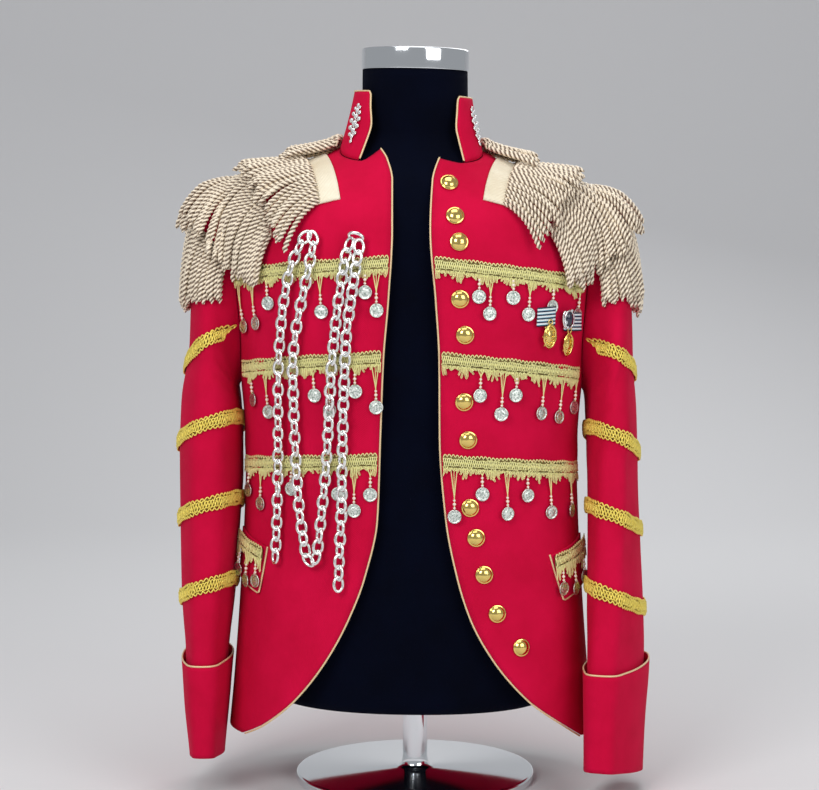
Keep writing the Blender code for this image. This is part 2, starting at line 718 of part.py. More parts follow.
def make_sleeves(finish):
    rows = len(SLEEVE_RINGS) - 1
    for side, name in ((-1, "sleeve_left"), (1, "sleeve_right")):
        def place(column, row):
            angle = -90 + 360 * column / SLEEVE_SIDES
            if side < 0:
                angle = 180 - angle
            down = SLEEVE_RINGS[rows - row]
            over = max(0.0, math.sin(math.radians(angle))) ** 3
            tuck = (SLEEVE_TUCK + SLEEVE_TOP_TUCK * over) * (1 - ease(down / 3))
            return sleeve(side, down, angle, -tuck)
        cloth(name, SLEEVE_SIDES, rows, place, finish, closed=True)


def make_cuffs(finish):
    end = len(SLEEVE_LEFT) - 1
    for side, name in ((-1, "cuff_left"), (1, "cuff_right")):
        rows = 2

        def place(column, row):
            angle = -90 + 360 * column / SLEEVE_SIDES
            if side < 0:
                angle = 180 - angle
            down = (end, end - 1, sleeve_down(side, CUFF_TOP[side], angle))[row]
            point = on_sleeve(side, down, angle, BAND_GAP + WALL)
            if row == 0:
                point.z -= CUFF_DROP
            return point
        cloth(name, SLEEVE_SIDES, rows, place, finish, closed=True)


def make_collar(finish):
    rows = 3

    def place(column, row):
        return collar(column / COLLAR_COLUMNS, row / rows)
    cloth("collar", COLLAR_COLUMNS, rows, place, finish)


def make_form(finish):
    rows = len(FORM) - 1
    shape, cells = grid(FORM_SIDES, rows)
    for vert, (column, row) in cells.items():
        height = FORM[row].height
        shift = JACKET_SHIFT * (1 - ease((height - FORM_SHIFT_FROM) / FORM_SHIFT_OVER))
        vert.co = leaned(ring_point(FORM, 360 * column / FORM_SIDES, height, shift))
    bmesh.ops.remove_doubles(shape, verts=shape.verts, dist=0.00002)
    rims = [edge for edge in shape.edges if edge.is_boundary]
    bmesh.ops.holes_fill(shape, edges=rims, sides=FORM_SIDES + 2)
    made = finish_slab("dress_form", shape, finish)
    made.data.shade_smooth()


def turned(name, profile, sides, finish):
    """A profile of radius and height pairs, top to bottom, turned about Z."""
    shape = bmesh.new()
    verts = [shape.verts.new((radius, 0, height)) for radius, height in profile]
    for first, second in zip(verts, verts[1:]):
        shape.edges.new((first, second))
    mesh = bpy.data.meshes.new(name)
    shape.to_mesh(mesh)
    shape.free()
    made = add_object(name, mesh, finish)
    screw = made.modifiers.new("Turn", "SCREW")
    screw.steps = sides
    screw.render_steps = sides
    screw.use_merge_vertices = True
    screw.merge_threshold = 0.00005
    return made


def make_stand(finish):
    top = FORM[0].height - 0.0008
    profile = [
        (0, top),
        (PLATE_RADIUS, top),
        (PLATE_RADIUS, top - PLATE_THICK),
        (POST_RADIUS, top - PLATE_THICK),
        (POST_RADIUS, BASE_THICK + BASE_EDGE),
        (POST_RADIUS * 2.2, BASE_THICK),
        (BASE_RADIUS - BASE_EDGE, BASE_THICK),
        (BASE_RADIUS, BASE_THICK - BASE_EDGE),
        (BASE_RADIUS, 0),
        (0, 0),
    ]
    turned("stand", profile, 24, finish)


def make_cap(finish):
    profile = [
        (0, CAP_TOP),
        (CAP_RADIUS - CAP_EDGE, CAP_TOP),
        (CAP_RADIUS, CAP_TOP - CAP_EDGE),
        (CAP_RADIUS, CAP_BOTTOM),
        (0, CAP_BOTTOM),
    ]
    made = turned("neck_cap", profile, 28, finish)
    made.rotation_euler = (0, LEAN_HIGH, 0)
    made.location = (-LEAN_HIGH * CAP_BOTTOM, 0, 0)


def tube(name, points, radius, finish, cyclic=False, resolution=0):
    curve = bpy.data.curves.new(name, "CURVE")
    curve.dimensions = "3D"
    curve.bevel_depth = radius
    curve.bevel_resolution = resolution
    curve.use_fill_caps = not cyclic
    line = curve.splines.new("POLY")
    line.points.add(len(points) - 1)
    for spot, point in zip(line.points, points):
        spot.co = (*point, 1)
    line.use_cyclic_u = cyclic
    made = bpy.data.objects.new(name, curve)
    bpy.data.collections[GARMENT].objects.link(made)
    curve.materials.append(finish)
    return made


def make_piping(finish):
    for side, name in ((-1, "piping_left"), (1, "piping_right")):
        field = "left" if side < 0 else "right"
        heights = [edge_height(side, i) for i in range(len(PANEL_ROWS) + len(SHOULDER_ROWS))]
        heights[0] += 0.0008
        heights[-1] -= 0.0010
        points = []
        for height in heights:
            low = value_at(FRONT_EDGE, height - 0.004, field)
            high = value_at(FRONT_EDGE, height + 0.004, field)
            slope = Vector((high - low, 0, 0.008)).normalized()
            x = value_at(FRONT_EDGE, height, field) - side * slope.z * PIPING_AWAY
            z = height + side * slope.x * PIPING_AWAY
            place = laid if height <= SHOULDER else torso
            points.append(place(torso_angle(x, z), z, -WALL / 2))
        tube(name, points, PIPING, finish)
    make_collar_piping(finish)


def make_collar_piping(finish):
    points = [collar_beyond(0, part, PIPING_AWAY) for part in (0.05, 0.333, 0.667, 0.94)]
    points.append(collar_beyond(0, 1.0, PIPING_AWAY * 0.7) + Vector((0, 0, PIPING_AWAY * 0.7)))
    for share in steps(0, 1, COLLAR_COLUMNS)[1:-1]:
        points.append(collar(share, 1, -WALL / 2) + Vector((0, 0, PIPING_AWAY)))
    points.append(collar_beyond(1, 1.0, PIPING_AWAY * 0.7) + Vector((0, 0, PIPING_AWAY * 0.7)))
    points += [collar_beyond(1, part, PIPING_AWAY) for part in (0.94, 0.667, 0.333, 0.05)]
    tube("piping_collar", points, PIPING, finish)


def collar_beyond(share, part, distance):
    """A point just past a front end of the collar."""
    step = 0.004
    inner = share + step if share == 0 else share - step
    here = collar(share, part, -WALL / 2)
    away = (here - collar(inner, part, -WALL / 2)).normalized()
    return here + away * distance


def strip_breaks(spots, half, widest):
    """Shares along a strip: its ends, a narrow column at each spot and fillers."""
    places = [0.0]
    for spot in sorted(spots) + [1.0 + half]:
        bare = spot - half - places[-1]
        count = max(1, math.ceil(bare / widest))
        start = places[-1]
        places += [start + bare * i / count for i in range(1, count + 1)]
        places.append(spot + half)
    return places[:-1]


def nearest_column(places, spot):
    """The column whose middle is nearest to a spot."""
    middles = [abs((low + high) / 2 - spot) for low, high in zip(places, places[1:])]
    return middles.index(min(middles))


def hang_coin(shape, roles, column, angle, top, drop, out):
    """Grow a thread and a coin down from one narrow column of a strip."""
    centre = top - drop
    flat = COIN_THICK / 2
    sections = [
        (centre + COIN_RADIUS, COIN_ROD, COIN_ROD),
        (centre + COIN_RADIUS * 0.86, COIN_RADIUS * 0.50, flat),
        (centre + COIN_RADIUS * 0.38, COIN_RADIUS * 0.96, flat),
        (centre - COIN_RADIUS * 0.38, COIN_RADIUS * 0.96, flat),
        (centre - COIN_RADIUS, COIN_RADIUS * 0.42, flat),
    ]
    drawn = []
    for height, half_width, thick in sections:
        here = laid(angle, height, out)
        along = (laid(angle + 0.5, height, out) - laid(angle - 0.5, height, out)).normalized()
        over = (laid(angle, height, out + 0.001) - here).normalized()
        drawn.append((here, along * half_width, over * thick))
    grow_strand(shape, roles, rim_face(shape, roles, column, 0), drawn)


def make_chest_braid(finish):
    for number, row in enumerate(CHEST_ROWS, 1):
        for side, name in ((-1, "left"), (1, "right")):
            coins = COINS[number, side]
            braid_row(f"chest_braid_{number}_{name}", side, row, coins, finish)


def row_shares(side, row):
    """Angles at the two ends of a row, and its height at a share of the way."""
    edge = value_at(FRONT_EDGE, row.inner, "left" if side < 0 else "right")
    inner = torso_angle(edge + side * 0.0012, row.inner)
    outer = side * (row.left_end if side < 0 else row.right_end)
    return inner, outer


def row_height_at(side, row, angle):
    inner, outer = row_shares(side, row)
    return row.inner + (row.outer - row.inner) * (angle - inner) / (outer - inner)


def braid_row(name, side, row, coins, finish):
    start, end = sorted(row_shares(side, row))
    hung = []
    for x, drop in sorted(coins):
        angle = torso_angle(x, row_height_at(side, row, torso_angle(x, row.inner)))
        hung.append((angle, drop))
    half = COIN_ROD / 0.12 * math.degrees(1) / (end - start)
    spots = [(angle - start) / (end - start) for angle, _ in hung]
    places = strip_breaks(spots, half, 9 / (end - start))

    def place(column, level, out):
        angle = start + (end - start) * places[column]
        fringe = SCALLOP * (1.15 if column % 2 else 0.9)
        offsets = (-BRAID_HALF - fringe, -BRAID_HALF, BRAID_HALF)
        return laid(angle, row_height_at(side, row, angle) + offsets[level], out)

    shape, roles = slab(len(places) - 1, 2, lambda c, r: place(c, r, TRIM_GAP + TRIM),
                        lambda c, r: place(c, r, TRIM_GAP))
    for index, (angle, drop) in enumerate(hung):
        column = nearest_column(places, spots[index])
        hang_coin(shape, roles, column, angle, row_height_at(side, row, angle), drop,
                  TRIM_GAP + COIN_OUT)
    finish_slab(name, shape, finish)


def band_height(band, angle):
    """The loops hang lower at the back outer side than at the front."""
    return band.height - band.drop / 2 * (1 - math.cos(math.radians(angle - BAND_LEAN)))


def band_end(side, band, angle, step):
    """First angle from the underarm at which the sleeve is clear of its seam."""
    top = BRAID_HALF
    while sleeve_down(side, band_height(band, angle) + top, angle) < BAND_CLEAR:
        angle += step
    return angle


def make_sleeve_braid(finish):
    for side, name in ((-1, "left"), (1, "right")):
        for number, band in enumerate(SLEEVE_BANDS[side], 1):
            closed = band.height < UNDERARM
            angles = steps(-90, 270, SLEEVE_SIDES)
            if not closed:
                start = band_end(side, band, -70, 1)
                end = band_end(side, band, 250, -1)
                angles = [angle for angle in angles if start <= angle <= end]
            if side < 0:
                angles.reverse()

            def place(column, level, out):
                angle = angles[column]
                height = band_height(band, angle) + BRAID_HALF * (2 * level - 1)
                return on_sleeve(side, sleeve_down(side, height, angle), angle, out)
            shape, _ = slab(len(angles) - 1, 1, lambda c, r: place(c, r, BAND_GAP + TRIM),
                            lambda c, r: place(c, r, BAND_GAP), closed=closed)
            finish_slab(f"sleeve_braid_{number}_{name}", shape, finish)


def flap_angle_height(flap, side, share, part):
    """Share 0 at the front edge to 1 at the rear, part 0 at the top."""
    front = flap.top_angle + (flap.low_angle - flap.top_angle) * part
    angle = front + (flap.rear_angle - front) * share
    height = flap.front_height + (flap.rear_height - flap.front_height) * share
    return side * angle, height - FLAP_DEPTH * part


def make_flaps(cloth_finish, braid_finish):
    rows = 2
    margin = FLAP_MARGIN
    inside = strip_breaks([spot for spot, _ in FLAP_COINS], FLAP_COLUMN, 0.28)
    inside = [margin + (1 - 2 * margin) * share for share in inside]
    shares = [0.0] + inside + [1.0]
    for side, name in ((-1, "left"), (1, "right")):
        flap = FLAPS[side]
        order = shares if side > 0 else shares[::-1]

        def place(column, row):
            angle, height = flap_angle_height(flap, side, order[column], 1 - row / rows)
            return laid(angle, height, TRIM_GAP + WALL)
        cloth(f"flap_{name}", len(shares) - 1, rows, place, cloth_finish)
        make_flap_braid(f"flap_braid_{name}", side, flap, order[1:-1], braid_finish)


def make_flap_braid(name, side, flap, shares, finish):
    base = 2 * TRIM_GAP + WALL
    depths = (0.36, 0.30, 0.03)

    def at(share, part, out):
        angle, height = flap_angle_height(flap, side, share, part)
        return laid(angle, height, out)

    shape, roles = slab(len(shares) - 1, 2, lambda c, r: at(shares[c], depths[r], base + TRIM),
                        lambda c, r: at(shares[c], depths[r], base))
    for spot, drop in FLAP_COINS:
        column = nearest_column(shares, FLAP_MARGIN + (1 - 2 * FLAP_MARGIN) * spot)
        middle = (shares[column] + shares[column + 1]) / 2
        angle, height = flap_angle_height(flap, side, middle, depths[0])
        hang_coin(shape, roles, column, angle, height, drop, base + COIN_OUT)
    finish_slab(name, shape, finish)


def seat(made, x, height, gap):
    """Lay a turned piece flat on the front of the jacket."""
    spot = front_at(x, height, gap)
    normal = (front_at(x, height, gap + 0.002) - spot).normalized()
    made.location = spot
    made.rotation_mode = "QUATERNION"
    made.rotation_quaternion = normal.to_track_quat("Z", "Y")


def make_buttons(finish):
    profile = [
        (0, BUTTON_RISE),
        (BUTTON_RADIUS * 0.60, BUTTON_RISE * 0.80),
        (BUTTON_RADIUS, BUTTON_RISE * 0.22),
        (BUTTON_RADIUS * 0.97, 0),
        (0, 0),
    ]
    first = turned("button_01", profile, 10, finish)
    for number, (x, height) in enumerate(BUTTONS, 1):
        made = first
        if number > 1:
            made = first.copy()
            made.name = f"button_{number:02d}"
            bpy.data.collections[GARMENT].objects.link(made)
        seat(made, x, height, BUTTON_GAP)


def make_chain(finish):
    """A flat closed band along the chain's route, on top of the braid."""
    route = CHAIN_ROUTE
    columns = len(route) - 1

    def frame(i):
        x, height = route[i]
        before = route[max(0, i - 1)]
        after = route[min(columns, i + 1)]
        way = Vector((after[0] - before[0], 0, after[1] - before[1])).normalized()
        here = front_at(x, height, CHAIN_GAP)
        over = (front_at(x, height, CHAIN_GAP + 0.002) - here).normalized()
        across = over.cross(way).normalized()
        return here, across, over

    frames = [frame(i) for i in range(columns + 1)]

    def place(column, row, level):
        here, across, over = frames[column]
        reach = CHAIN_HALF_WIDTH * (2 * row - 1)
        return here + across * reach + over * (level * 2 * CHAIN_HALF_THICK)
    shape, _ = slab(columns, 1, lambda c, r: place(c, r, 1), lambda c, r: place(c, r, 0))
    finish_slab("chest_chain", shape, finish)


def make_ribbons(finish):
    for number, (x, height) in RIBBONS.items():
        def place(column, row, out):
            across = RIBBON_HALF[0] * (column - 1)
            return front_at(x + across, height + RIBBON_HALF[1] * (row - 1), out)
        shape, _ = slab(2, 2, lambda c, r: place(c, r, RIBBON_GAP + RIBBON_THICK),
                        lambda c, r: place(c, r, RIBBON_GAP))
        finish_slab(f"medal_ribbon_{number}", shape, finish)


def make_badges(stone, metal):
    for badge in BADGES:
        wide = badge.half_width
        profile = [
            (0, badge.rise),
            (wide * 0.62, badge.rise * 0.80),
            (wide, badge.rise * 0.30),
            (wide * 0.94, 0),
            (0, 0),
        ]
        finish = stone if badge.name == "brooch" else metal
        made = turned(badge.name, profile, 12, finish)
        seat(made, badge.x, badge.height, badge.gap)
        made.scale = (1, badge.half_height / wide, 1)


def make_ornaments(finish):
    for side, name in ((-1, "left"), (1, "right")):
        start, end = collar_end(1, 0.5), 360 - collar_end(-1, 0.5)
        angle = ORNAMENT_ANGLES[side] if side > 0 else 360 - ORNAMENT_ANGLES[side]
        middle = (angle - start) / (end - start)
        reach = ORNAMENT_HALF[0] / 0.066 / math.radians(end - start)
        columns, rows = 2, 4

        def place(column, row, out):
            waist = 1.0 if row in (1, 2, 3) else 0.45
            share = middle + reach * (column - 1) * waist
            part = 0.5 + ORNAMENT_HALF[1] / 0.062 * (row / rows * 2 - 1)
            rise = 1.0 if column == 1 and row in (1, 2, 3) else 0.55
            return collar(share, part, out if out < 0.001 else TRIM_GAP + ORNAMENT_RISE * rise)
        shape, _ = slab(columns, rows, lambda c, r: place(c, r, 1), lambda c, r: place(c, r, TRIM_GAP))
        finish_slab(f"collar_ornament_{name}", shape, finish)


def build_hull():
    """Triangles of the dressed shoulders that the fringe is laid on."""
    verts, faces = [], []

    def add(columns, rows, point, flip):
        base = len(verts)
        for row in range(rows + 1):
            for column in range(columns + 1):
                verts.append(point(column / columns, row / rows))
        wide = columns + 1
        for row in range(rows):
            for column in range(columns):
                a = base + row * wide + column
                loop = (a, a + 1, a + wide + 1, a + wide)
                faces.append(loop[::-1] if flip else loop)

    def shoulders(u, v):
        angle = 360 * u
        height = 0.40 + v * (neck_height(angle) - 0.40)
        return laid(angle, height)
    add(72, 48, shoulders, False)
    add(48, 8, lambda u, v: collar(u, v), False)
    for side in (-1, 1):
        add(40, 40, lambda u, v: sleeve(side, 10 * v, 360 * u), side > 0)
    return BVHTree.FromPolygons(verts, faces)


def pushed_out(hull, point, rest):
    """Move a point out until it lies a given distance off the hull."""
    spot, normal, _, _ = hull.find_nearest(point)
    deep = (point - spot).dot(normal)
    if deep >= rest:
        return point, None
    return point + normal * min(FRINGE_PUSH, rest - deep), normal


def lay_strand(hull, start, heading, length, rise, droop):
    """Lead a strand over the shoulder, bending down under its own weight."""
    point = start.copy()
    way = heading.normalized()
    points = [point.copy()]
    run = 0.0
    while run < length - 1e-6:
        way = (way + Vector((0, 0, -1)) * (LAY_STEP / droop)).normalized()
        run += LAY_STEP
        point = point + way * LAY_STEP
        point, normal = pushed_out(hull, point, rise(run))
        if normal is not None:
            inward = min(0.0, way.dot(normal))
            way = (way - normal * inward).normalized()
        points.append(point.copy())
    return points


def header_spot(hull, side, tier, turn):
    """A point of a tier's header, turn degrees forward or back of the top."""
    tilt = math.radians(tier.tilt)
    up = Vector((side * math.sin(tilt), 0, math.cos(tilt)))
    fore = Vector((0, -1, 0))
    angle = math.radians(turn)
    way = up * math.cos(angle) + fore * math.sin(angle)
    way.x -= side * tier.slant * abs(math.sin(angle))
    origin = Vector((side * tier.x + JACKET_SHIFT, 0, tier.height))
    far = origin + way.normalized() * 0.30
    spot, normal, _, _ = hull.ray_cast(far, -way.normalized())
    return spot, normal


def make_fringe(name, side, tier, hull, finish):
    count = tier.strands
    places = []
    for i in range(count):
        places += [i + (1 - STRAND_SHARE) / 2, i + (1 + STRAND_SHARE) / 2]
    columns = len(places) - 1
    spots, normals, headings = [], [], []
    for place in places:
        share = place / count
        turn = tier.fore - (tier.fore + tier.aft) * share
        spot, normal = header_spot(hull, side, tier, turn)
        near, _ = header_spot(hull, side, tier, turn - 2)
        along = (near - spot).normalized()
        heading = normal.cross(along)
        if heading.x * side < 0:
            heading = -heading
        spots.append(spot)
        normals.append(normal)
        headings.append(heading.normalized())

    def header(column, row, out):
        back = tier.width * (1 - row)
        point = spots[column] - headings[column] * back
        spot, normal, _, _ = hull.find_nearest(point)
        return spot + normal * out

    shape, roles = slab(columns, 1, lambda c, r: header(c, r, tier.gap + tier.thick),
                        lambda c, r: header(c, r, tier.gap))
    sections = 4 if tier.length > 0.09 else 3
    for i in range(count):
        left, right = 2 * i, 2 * i + 1
        middle = (spots[left] + spots[right]) / 2
        normal = (normals[left] + normals[right]).normalized()
        heading = (headings[left] + headings[right]).normalized()
        half = (spots[right] - spots[left]).length / 2

        turn = math.radians(tier.fore - (tier.fore + tier.aft) * (i + 0.5) / count)
        steep = math.sin(turn) ** 4
        flat = 1 - FRINGE_SINK * math.sin(turn) ** 2

        def rise(run):
            low = tier.gap + max(tier.thick, STRAND_THICK) - STRAND_THICK / 2
            return low + min(tier.rise, tier.climb * run) * flat
        start = middle + normal * rise(0)
        reach = tier.length * (1 - tier.short * steep) * (1 - 0.05 * (i % 2))
        falling = heading + Vector((0, 0, -tier.fall * steep))
        path = lay_strand(hull, start, falling, reach, rise, tier.droop * flat)
        made = []
        for k in range(1, sections + 1):
            at = round((len(path) - 1) * (k / sections) ** 0.85)
            before = path[max(0, at - 2)]
            after = path[min(len(path) - 1, at + 1)]
            way = (after - before).normalized()
            _, out, _, _ = hull.find_nearest(path[at])
            out = (out - way * out.dot(way)).normalized()
            across = (spots[right] - spots[left]).normalized()
            across = (across - way * across.dot(way)).normalized()
            out = across.cross(way).normalized()
            if out.dot(normals[left]) < 0 and k == 1:
                out = -out
            elif made and out.dot(made[-1][2]) < 0:
                out = -out
            thin = 0.62 if k == sections else 1.0
            made.append((path[at], across * half * thin, out * STRAND_THICK / 2))
        face = rim_face(shape, roles, left, 1)
        grow_strand(shape, roles, face, made)
    finish_slab(name, shape, finish)


def make_fringes(finish):
    hull = build_hull()
    for side, word in ((-1, "left"), (1, "right")):
        for part, tier in TIERS.items():
            make_fringe(f"fringe_{part}_{word}", side, tier, hull, finish)


def main():
    clear_scene()
    bpy.context.scene.collection.children.link(bpy.data.collections.new(GARMENT))
    red = material("Red cloth", (0.62, 0.008, 0.045), 0.75)
    black = material("Black jersey", (0.006, 0.008, 0.016), 0.85)
    chrome = material("Polished steel", (0.80, 0.83, 0.86), 0.12, 1.0)
    brass = material("Brass", (0.83, 0.60, 0.22), 0.22, 1.0)
    gold = material("Gold braid", (0.66, 0.50, 0.15), 0.45, 0.5)
    deep_gold = material("Deep gold braid", (0.60, 0.40, 0.06), 0.45, 0.5)
    cream = material("Cream cord", (0.82, 0.68, 0.46), 0.6)
    silver = material("Silver chain", (0.78, 0.77, 0.72), 0.25, 1.0)
    ribbon = material("Striped ribbon", (0.12, 0.22, 0.34), 0.6)
    jewel = material("Jewels", (0.75, 0.78, 0.78), 0.15, 0.6)

    make_form(black)
    make_stand(chrome)
    make_cap(chrome)
    make_fronts(red)
    make_back(red)
    make_sleeves(red)
    make_cuffs(red)
    make_collar(red)
    make_piping(gold)
    make_chest_braid(gold)
    make_sleeve_braid(deep_gold)
    make_flaps(red, gold)
    make_buttons(brass)
    make_chain(silver)
    make_ribbons(ribbon)
    make_badges(jewel, brass)
    make_ornaments(jewel)
    make_fringes(cream)


main()
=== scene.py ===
import math
import random
import bpy
import numpy as np
from mathutils import Matrix, Vector
from mathutils.bvhtree import BVHTree


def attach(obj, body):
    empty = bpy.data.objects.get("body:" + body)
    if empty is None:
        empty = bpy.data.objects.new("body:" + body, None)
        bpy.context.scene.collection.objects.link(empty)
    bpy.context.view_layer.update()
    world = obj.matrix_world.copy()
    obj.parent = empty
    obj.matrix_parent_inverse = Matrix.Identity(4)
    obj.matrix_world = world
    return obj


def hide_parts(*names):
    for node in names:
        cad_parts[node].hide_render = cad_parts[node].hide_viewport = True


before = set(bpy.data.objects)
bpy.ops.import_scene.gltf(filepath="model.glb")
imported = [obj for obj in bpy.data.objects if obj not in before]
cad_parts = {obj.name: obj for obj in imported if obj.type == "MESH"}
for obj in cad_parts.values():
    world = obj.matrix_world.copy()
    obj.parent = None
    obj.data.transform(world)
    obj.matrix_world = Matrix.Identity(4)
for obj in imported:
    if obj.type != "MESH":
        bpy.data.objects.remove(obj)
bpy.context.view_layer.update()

# Stage jacket on a dress form, in metres, front towards -Y.
# Each piece is laid on the torso, a sleeve or the collar, by angle, height and distance out.

bothSides = ((-1, "left"), (1, "right"))

fit = {"shift": -0.004, "leanLow": 0.010, "leanHigh": 0.022, "leanFrom": 0.07, "leanOver": 0.50,
       "shoulder": 0.636, "underarm": 0.430, "neckFront": 0.669, "neckBack": 0.686, "peakFrom": 30.0,
       "holeFront": 0.050, "holeBack": 0.058, "hem": 0.062, "wall": 0.0018}

# height, half width, front depth, back depth, roundness
torsoRings = [
    (0.060, 0.198, 0.128, 0.130, 2.30), (0.110, 0.193, 0.127, 0.127, 2.30),
    (0.200, 0.186, 0.123, 0.120, 2.30), (0.300, 0.180, 0.117, 0.112, 2.30),
    (0.360, 0.178, 0.116, 0.109, 2.30), (0.460, 0.186, 0.124, 0.114, 2.30),
    (0.550, 0.196, 0.126, 0.120, 2.30), (0.600, 0.195, 0.118, 0.118, 2.20),
    (0.620, 0.191, 0.110, 0.113, 2.10), (0.636, 0.184, 0.100, 0.105, 1.95),
    (0.648, 0.160, 0.092, 0.097, 1.85), (0.660, 0.128, 0.083, 0.088, 1.85),
    (0.672, 0.098, 0.074, 0.079, 1.95), (0.688, 0.068, 0.064, 0.067, 2.00),
]
formRings = [
    (0.093, 0.146, 0.106, 0.103, 2.2), (0.097, 0.152, 0.110, 0.107, 2.2),
    (0.200, 0.166, 0.112, 0.107, 2.2), (0.280, 0.163, 0.106, 0.100, 2.2),
    (0.360, 0.161, 0.104, 0.096, 2.2), (0.460, 0.169, 0.112, 0.102, 2.2),
    (0.550, 0.178, 0.114, 0.108, 2.2), (0.600, 0.177, 0.107, 0.107, 2.1),
    (0.620, 0.174, 0.100, 0.103, 2.0), (0.6340, 0.1660, 0.0940, 0.0990, 1.95),
    (0.6455, 0.1530, 0.0893, 0.0943, 1.85), (0.6569, 0.1258, 0.0808, 0.0858, 1.85),
    (0.6690, 0.0960, 0.0720, 0.0770, 1.95), (0.6851, 0.0660, 0.0620, 0.0650, 2.0),
    (0.700, 0.0570, 0.0565, 0.0570, 2.0), (0.766, 0.0560, 0.0560, 0.0560, 2.0),
]
# outer x, outer z, inner x, inner z, half depth, forward, turn, lift
sleeveRings = {
    -1: [(0.1880, 0.636, 0.1875, 0.430, 0.054, 0.000, 0, 0.00),
         (0.2060, 0.632, 0.1885, 0.4285, 0.057, 0.000, 0, 0.00),
         (0.2210, 0.620, 0.1893, 0.4265, 0.062, 0.000, 0, 0.00),
         (0.2310, 0.600, 0.1898, 0.4240, 0.067, 0.000, 0, 0.00),
         (0.2375, 0.566, 0.1895, 0.4200, 0.072, 0.000, 0, 0.00),
         (0.2400, 0.520, 0.1885, 0.4140, 0.075, 0.001, 0, 0.00),
         (0.2420, 0.470, 0.1870, 0.4030, 0.076, 0.003, 0, 0.00),
         (0.2495, 0.420, 0.1855, 0.3830, 0.0755, 0.005, 0, 0.01),
         (0.2530, 0.360, 0.1855, 0.3480, 0.0745, 0.008, 0, 0.03),
         (0.2525, 0.290, 0.1885, 0.2900, 0.0730, 0.012, 0, 0.06),
         (0.2512, 0.210, 0.1940, 0.2100, 0.0705, 0.018, 0, 0.09),
         (0.2470, 0.145, 0.2015, 0.1450, 0.0680, 0.024, 0, 0.11),
         (0.2450, 0.090, 0.2045, 0.0900, 0.0660, 0.029, 0, 0.13),
         (0.2395, 0.034, 0.2092, 0.0340, 0.0630, 0.033, 0, 0.14)],
    1: [(0.1800, 0.636, 0.1795, 0.430, 0.054, 0.000, 0, 0.00),
        (0.1980, 0.632, 0.1805, 0.4285, 0.057, 0.000, 0, 0.00),
        (0.2130, 0.620, 0.1815, 0.4265, 0.062, 0.001, 0, 0.00),
        (0.2240, 0.598, 0.1822, 0.4235, 0.067, 0.002, 0, 0.00),
        (0.2300, 0.562, 0.1828, 0.4190, 0.071, 0.004, 0, 0.00),
        (0.2320, 0.515, 0.1832, 0.4120, 0.0735, 0.006, 0, 0.00),
        (0.2335, 0.462, 0.1835, 0.3990, 0.074, 0.009, 1, 0.00),
        (0.2375, 0.410, 0.1840, 0.3760, 0.074, 0.013, 3, 0.01),
        (0.2390, 0.350, 0.1850, 0.3400, 0.073, 0.019, 6, 0.03),
        (0.2405, 0.280, 0.1857, 0.2800, 0.071, 0.028, 10, 0.07),
        (0.2425, 0.200, 0.1860, 0.2000, 0.068, 0.041, 15, 0.11),
        (0.2409, 0.138, 0.1883, 0.1380, 0.066, 0.052, 20, 0.14),
        (0.2369, 0.084, 0.1879, 0.0840, 0.062, 0.061, 22, 0.16),
        (0.2349, 0.028, 0.1875, 0.0280, 0.060, 0.068, 22, 0.17)],
}
# height, left x, right x
frontEdges = [
    (0.062, -0.184, 0.178), (0.076, -0.162, 0.161), (0.110, -0.125, 0.119),
    (0.155, -0.092, 0.0817), (0.197, -0.070, 0.0587), (0.240, -0.0537, 0.0449),
    (0.300, -0.0406, 0.0330), (0.384, -0.0374, 0.0264), (0.466, -0.0341, 0.0257),
    (0.528, -0.0289, 0.0220), (0.600, -0.0250, 0.0165), (0.650, -0.0251, 0.0190),
    (0.672, -0.0306, 0.0255), (0.683, -0.0376, 0.0330),
]


def curveThrough(places, values):
    # monotone cubic through a table's column, sampled finely
    n = len(places)
    gaps = [(values[i + 1] - values[i]) / (places[i + 1] - places[i]) for i in range(n - 1)]
    slopes = [gaps[0]]
    for i in range(1, n - 1):
        a, b = gaps[i - 1], gaps[i]
        slopes.append(0 if a * b <= 0 else 2 * a * b / (a + b))
    slopes.append(gaps[-1])
    at, out = [], []
    for i in range(n - 1):
        span = places[i + 1] - places[i]
        for k in range(24):
            t = k / 24
            at.append(places[i] + span * t)
            out.append((2 * t ** 3 - 3 * t * t + 1) * values[i]
                       + (t ** 3 - 2 * t * t + t) * span * slopes[i]
                       + (3 * t * t - 2 * t ** 3) * values[i + 1]
                       + (t ** 3 - t * t) * span * slopes[i + 1])
    at.append(places[-1])
    out.append(values[-1])
    return np.array(at), np.array(out)


def columnCurves(rows, byIndex=False):
    places = list(range(len(rows))) if byIndex else [r[0] for r in rows]
    first = 0 if byIndex else 1
    return [curveThrough(places, [r[k] for r in rows]) for k in range(first, len(rows[0]))]


torsoCurves = columnCurves(torsoRings)
formCurves = columnCurves(formRings)
sleeveCurves = {side: columnCurves(rows, True) for side, rows in sleeveRings.items()}
edgeCurves = columnCurves(frontEdges)
sleeveEnd = len(sleeveRings[1]) - 1


def read(curve, at):
    return np.interp(at, curve[0], curve[1])


def edgeAt(side, z):
    # x of a front's edge
    return read(edgeCurves[0 if side < 0 else 1], z)


def ease(t):
    t = np.clip(t, 0, 1)
    return t * t * (3 - 2 * t)


def leaned(p):
    share = np.clip((p[..., 2] - fit["leanFrom"]) / fit["leanOver"], 0, 1)
    slope = fit["leanLow"] + (fit["leanHigh"] - fit["leanLow"]) * share
    out = p.copy()
    out[..., 2] -= slope * p[..., 0]
    return out


